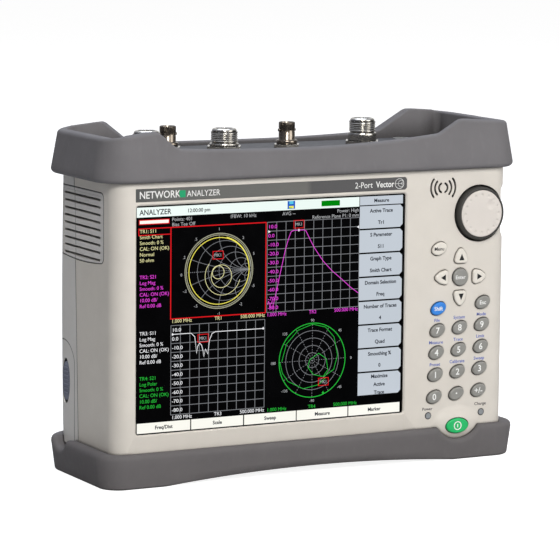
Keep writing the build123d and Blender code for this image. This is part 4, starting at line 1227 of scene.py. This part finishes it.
def knob_cap():
    """A pale disc with a ring of dimples and one finger hollow in its face."""
    centre, front = middle("knob_cap"), low("knob_cap").y
    steps, rings = 240, 48
    edge, bulge, back = 0.6, 0.25, 2.8
    dimple_ring, dimple_radius, dimple_depth, dimples = 11.3, 1.15, 0.4, 16
    hollow, hollow_radius, hollow_depth = (5.9, 5.2), 3.6, 0.55

    def sunk(u, v):
        """How far the cap's face lies behind its front plane."""
        radius, angle = math.hypot(u, v), math.atan2(v, u)
        depth = bulge * (radius / KNOB_CAP_RADIUS) ** 4
        nearest = round(angle / (2 * math.pi / dimples)) * 2 * math.pi / dimples
        away = math.hypot(u - dimple_ring * math.cos(nearest), v - dimple_ring * math.sin(nearest))
        if away < dimple_radius:
            depth += dimple_depth * (1 - (away / dimple_radius) ** 2) ** 1.5
        away = math.hypot(u - hollow[0], v - hollow[1])
        if away < hollow_radius:
            depth += hollow_depth * (1 - (away / hollow_radius) ** 2) ** 2
        return depth

    inner = KNOB_CAP_RADIUS - edge
    profile = [(inner * (i + 1) / rings, None) for i in range(rings)]
    profile += [(inner + edge * math.sin(math.radians(a)), bulge + edge * (1 - math.cos(math.radians(a))))
                for a in (22, 45, 68, 90)]
    profile += [(KNOB_CAP_RADIUS, back), (KNOB_CAP_RADIUS - 1, back)]
    rows = []
    for radius, level in profile:
        rows.append([(centre.x + u, front + (sunk(u, v) if level is None else level), centre.z + v)
                     for u, v in circle(radius, steps)])
    points = flattened(rows) + [(centre.x, front, centre.z)]
    hub, last = len(points) - 1, (len(rows) - 1) * steps
    faces = [(hub, i, (i + 1) % steps) for i in range(steps)] + joined_rows(rows)
    faces.append(tuple(last + i for i in range(steps)))
    cap = add_piece("knob_cap_disc", "knob", FINISHES["knob_cream"], points, faces,
                    crease_degrees=60)
    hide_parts("knob_cap")


def grip_lining():
    """A black, shallow oval tray in the recess round the battery door's grip: painted shade for the shadow in
    the recess.
    """
    centre = middle("battery_door_grip")
    outer, inner, floor_edge = (5.95, 13.35), (5.88, 13.28), (4.95, 11.45)
    back, face, skin = -126.85, -127.7, 0.08
    rows = []
    for (half_y, half_z), x in ((outer, face), (outer, back), (floor_edge, back), (floor_edge, back - skin),
                                (inner, back - skin), (inner, face)):
        rows.append([(x, centre.y + half_y * u, centre.z + half_z * v) for u, v in circle(1, 72)])
    # painted shade: a black lining where the recess is in shadow
    add_piece("grip_recess_shade_tray", "battery_door", FINISHES["black"], flattened(rows),
              joined_rows(rows, True))


# ------------------------------------------------------------------ ports
JACK_WAIST = 178.0          # where a jack's barrel narrows behind the panel


def thread_radius(crest, depth, pitch, top, bottom):
    """A radius that follows a right-hand thread between two heights."""
    def at(radius, height, angle):
        if radius < crest - 1e-6 or not bottom < height < top:
            return radius
        phase = (height / pitch - angle / (2 * math.pi)) % 1.0
        fade = min(1.0, (top - height) / pitch, (height - bottom) / pitch)
        return crest - depth * fade * abs(2 * phase - 1)
    return at


def solid_centres(node):
    """Centres in x and y of a node's separate solids, left to right, with each one's top."""
    mesh = bmesh.new()
    mesh.from_mesh(NODES[node].data)
    bmesh.ops.remove_doubles(mesh, verts=mesh.verts, dist=1e-6)
    left = set(mesh.verts)
    found = []
    while left:
        edge, island = [left.pop()], []
        while edge:
            vert = edge.pop()
            island.append(vert.co / MM)
            for link in vert.link_edges:
                other = link.other_vert(vert)
                if other in left:
                    left.remove(other)
                    edge.append(other)
        spans = [(min(co[k] for co in island), max(co[k] for co in island)) for k in range(3)]
        found.append(((spans[0][0] + spans[0][1]) / 2, (spans[1][0] + spans[1][1]) / 2, spans[2][1]))
    mesh.free()
    return sorted(found)


def n_jacks():
    """Threaded jacks with a bright lip, a parting groove and a knurled lower ring."""
    panel, tail = high("connector_panel").z, low("n_connector_bodies").z
    crest, depth, pitch, steps_per_turn = 7.94, 0.5, 1.058, 8
    thread_top, neck, bore_floor = -1.9, -7.6, -11.0
    knurls, knurl_depth, knurl_radius = 48, 0.16, 8.6
    turns = round((thread_top - neck) / pitch * steps_per_turn)
    shape = thread_radius(crest, depth, pitch, thread_top, neck)

    def knurled(radius, height, angle):
        if radius > knurl_radius - 0.1:
            return radius - knurl_depth * (1 + math.cos(angle * knurls)) / 2
        return shape(radius, height, angle)

    for number, (x, y, top) in enumerate(solid_centres("n_connector_bodies"), 1):
        base, waist, end = panel - top, JACK_WAIST - top, tail - top
        ring_top, ring_foot = neck - 1.5, base + 2.9
        profile = [(4.9, -0.4), (5.2, 0.0), (6.1, 0.0), (6.6, -0.2), (7.0, -0.55), (7.25, -1.0), (7.3, -1.4),
                   (7.0, -1.75)]
        profile += [(crest, thread_top - (thread_top - neck) * i / turns) for i in range(turns + 1)]
        profile += [(7.2, neck - 0.3), (7.2, neck - 0.9), (8.3, neck - 1.1)]
        profile += [(knurl_radius, ring_top - (ring_top - ring_foot) * i / 4) for i in range(5)]
        profile += [(8.3, base + 2.6), (7.0, base + 2.6), (7.0, waist), (4.4, waist), (4.4, end), (2.0, end),
                    (2.0, bore_floor), (4.9, bore_floor)]
        lathe(f"n_jack_{number}", "case", FINISHES["nickel"], profile, (x, y, top),
              steps=144, radius_at=knurled, crease=30)


def bnc_jacks():
    """Bayonet jacks: a plain barrel with two lugs, a flared base and a knurled ring."""
    panel, tail = high("connector_panel").z, low("bnc_connector_bodies").z
    lug = [(0.0, 0.75), (0.55, 0.75), (0.8, 0.6), (0.95, 0.3), (0.95, -0.6), (0.0, -0.6)]
    lug_start, lug_drop, bore_floor = 4.95, 4.6, -9.0
    material = FINISHES["warm_nickel"]
    for number, (x, y, top) in enumerate(solid_centres("bnc_connector_bodies"), 1):
        base, waist, end = panel - top, JACK_WAIST - top, tail - top
        profile = [(4.1, -0.3), (4.3, 0.0), (4.55, 0.0), (4.8, -0.3), (4.8, -3.4), (4.68, -3.6), (4.68, -5.7),
                   (4.8, -5.9), (4.8, base + 5.0), (5.0, base + 4.7), (6.0, base + 4.5), (6.2, base + 4.2),
                   (6.2, base + 2.6), (6.0, base + 2.2), (4.5, base + 2.2), (4.5, waist), (3.4, waist),
                   (3.4, end), (1.6, end), (1.6, bore_floor), (4.1, bore_floor)]
        lathe(f"bnc_jack_{number}", "case", material, profile, (x, y, top))
        for side, word in ((-1, "left"), (1, "right")):
            rows = [[(x + side * (lug_start + out), y + u, top - lug_drop + v) for u, v in circle(radius, 24)]
                    for radius, out in lug]
            add_piece(f"bnc_jack_{number}_lug_{word}", "case", material, flattened(rows),
                      joined_rows(rows))


def ports():
    n_jacks()
    bnc_jacks()
    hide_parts("n_connector_bodies")
    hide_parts("bnc_connector_bodies")


# ------------------------------------------------------------------ stage, light and camera
WHITE = (1, 1, 1, 1)
SURROUND_LEFT, SURROUND_RIGHT, AMBIENT = (0.045, 0.05, 0.06, 1), (0.42, 0.41, 0.40, 1), 0.78
OVERHEAD = (0.85, 0.9, 1.02, 1)
FLOOR_LIFT = 0.88
STUDIO = [
    # share of a turn anticlockwise from the left, and what a shiny surface sees there
    (0.02, (0.30, 0.32, 0.38, 1)), (0.09, (0.14, 0.14, 0.16, 1)), (0.19, (0.07, 0.07, 0.07, 1)),
    (0.28, (1.05, 1.02, 0.98, 1)), (0.36, (0.50, 0.49, 0.47, 1)), (0.44, (0.09, 0.09, 0.09, 1)),
    (0.57, (0.20, 0.20, 0.20, 1)), (0.67, (2.2, 2.22, 2.3, 1)), (0.77, (0.30, 0.32, 0.40, 1)),
    (0.92, (0.14, 0.15, 0.18, 1)),
]


def world():
    """White for the camera. A soft surround, darker on the left, lights the object, and shiny
    surfaces see a dark studio with tall soft boxes under a pale ceiling."""
    made = bpy.data.worlds.new("studio")
    bpy.context.scene.world = made
    made.use_nodes = True
    made.node_tree.nodes.clear()
    nodes = Nodes(made.node_tree)
    path = nodes.node("ShaderNodeLightPath").outputs
    x, y, z = nodes.axes(nodes.node("ShaderNodeTexCoord").outputs["Generated"])
    soft = nodes.ramp(nodes.remap(x, 0.0, 1.0, -1.0, 1.0), [(0.0, SURROUND_LEFT), (1.0, SURROUND_RIGHT)])
    turn = nodes.remap(nodes.maths("ARCTAN2", y, x), 0.0, 1.0, -math.pi, math.pi)
    boxes = nodes.ramp(turn, STUDIO, "B_SPLINE")
    reflected = nodes.mix(nodes.remap(z, 0.0, 1.0, 0.4, 0.8), boxes, OVERHEAD)
    seen = nodes.mix(path["Is Glossy Ray"], soft, reflected)
    ambient = nodes.node("ShaderNodeBackground", {"Color": seen, "Strength": AMBIENT})
    backdrop = nodes.node("ShaderNodeBackground", {"Color": WHITE})
    links = {"Fac": path["Is Camera Ray"], 1: ambient.outputs[0], 2: backdrop.outputs[0]}
    mixed = nodes.node("ShaderNodeMixShader", links)
    nodes.node("ShaderNodeOutputWorld", {"Surface": mixed.outputs[0]})


def floor():
    """A pale floor under the feet, with only a faint shadow."""
    half = 6000
    corners = [(-half, -half, 0), (half, -half, 0), (half, half, 0), (-half, half, 0)]
    made = placed("floor", mesh_in_mm("floor", corners, [(0, 1, 2, 3)]))
    finish = Finish("floor_card", 0.9, specular=0.0)
    finish.mottle((0.5, 0.5, 0.5, 1.0), 0.01, 200)
    path = finish.node("ShaderNodeLightPath").outputs["Is Camera Ray"]
    finish.set("Emission Color", WHITE)
    finish.feed("Emission Strength", finish.remap(path, 0.0, FLOOR_LIFT, 0.0, 1.0))
    made.data.materials.append(finish.done())


def area_light(name, place, size, power, colour):
    """A rectangular light that faces the middle of the object. place and size are metres."""
    data = bpy.data.lights.new(name, "AREA")
    data.shape = "RECTANGLE"
    data.size, data.size_y = size
    data.energy = power
    data.color = colour
    made = placed(name, data)
    made.location = place
    made.rotation_euler = (Vector((0, 0, 0.1)) - Vector(place)).to_track_quat("-Z", "Y").to_euler()


def lights():
    area_light("key_light", (-0.80, -2.1, 1.75), (0.9, 1.0), 51.5, (1.0, 0.992, 0.975))
    area_light("fill_light", (1.5, -2.1, 0.9), (1.6, 1.4), 22.0, (1.0, 0.99, 0.975))
    area_light("top_light", (0.25, 0.85, 2.2), (1.4, 0.9), 30.0, (0.80, 0.87, 1.0))


def camera():
    yaw, pitch, roll = (math.radians(a) for a in (CAMERA_YAW, CAMERA_PITCH, CAMERA_ROLL))
    back = Vector((math.sin(yaw) * math.cos(pitch), -math.cos(yaw) * math.cos(pitch), math.sin(pitch)))
    right = Vector((math.cos(yaw), math.sin(yaw), 0.0))
    up = back.cross(right)
    right, up = math.cos(roll) * right + math.sin(roll) * up, math.cos(roll) * up - math.sin(roll) * right
    data = bpy.data.cameras.new("camera")
    data.lens, data.sensor_width = CAMERA_LENS, CAMERA_SENSOR
    data.clip_start, data.clip_end = 0.05, 50.0
    made = placed("camera", data)
    turn = Matrix((right, up, back)).transposed().to_4x4()
    made.matrix_world = Matrix.Translation((CAMERA_TARGET + back * CAMERA_DISTANCE) * MM) @ turn
    bpy.context.scene.camera = made
    bpy.context.scene.view_settings.view_transform = "Standard"


finish_nodes()
top_bumper()
bottom_bumper()
knob_rim()
knob_cap()
grip_lining()
ports()
screen()
title_words()
captions()
key_legends()
world()
floor()
lights()
camera()
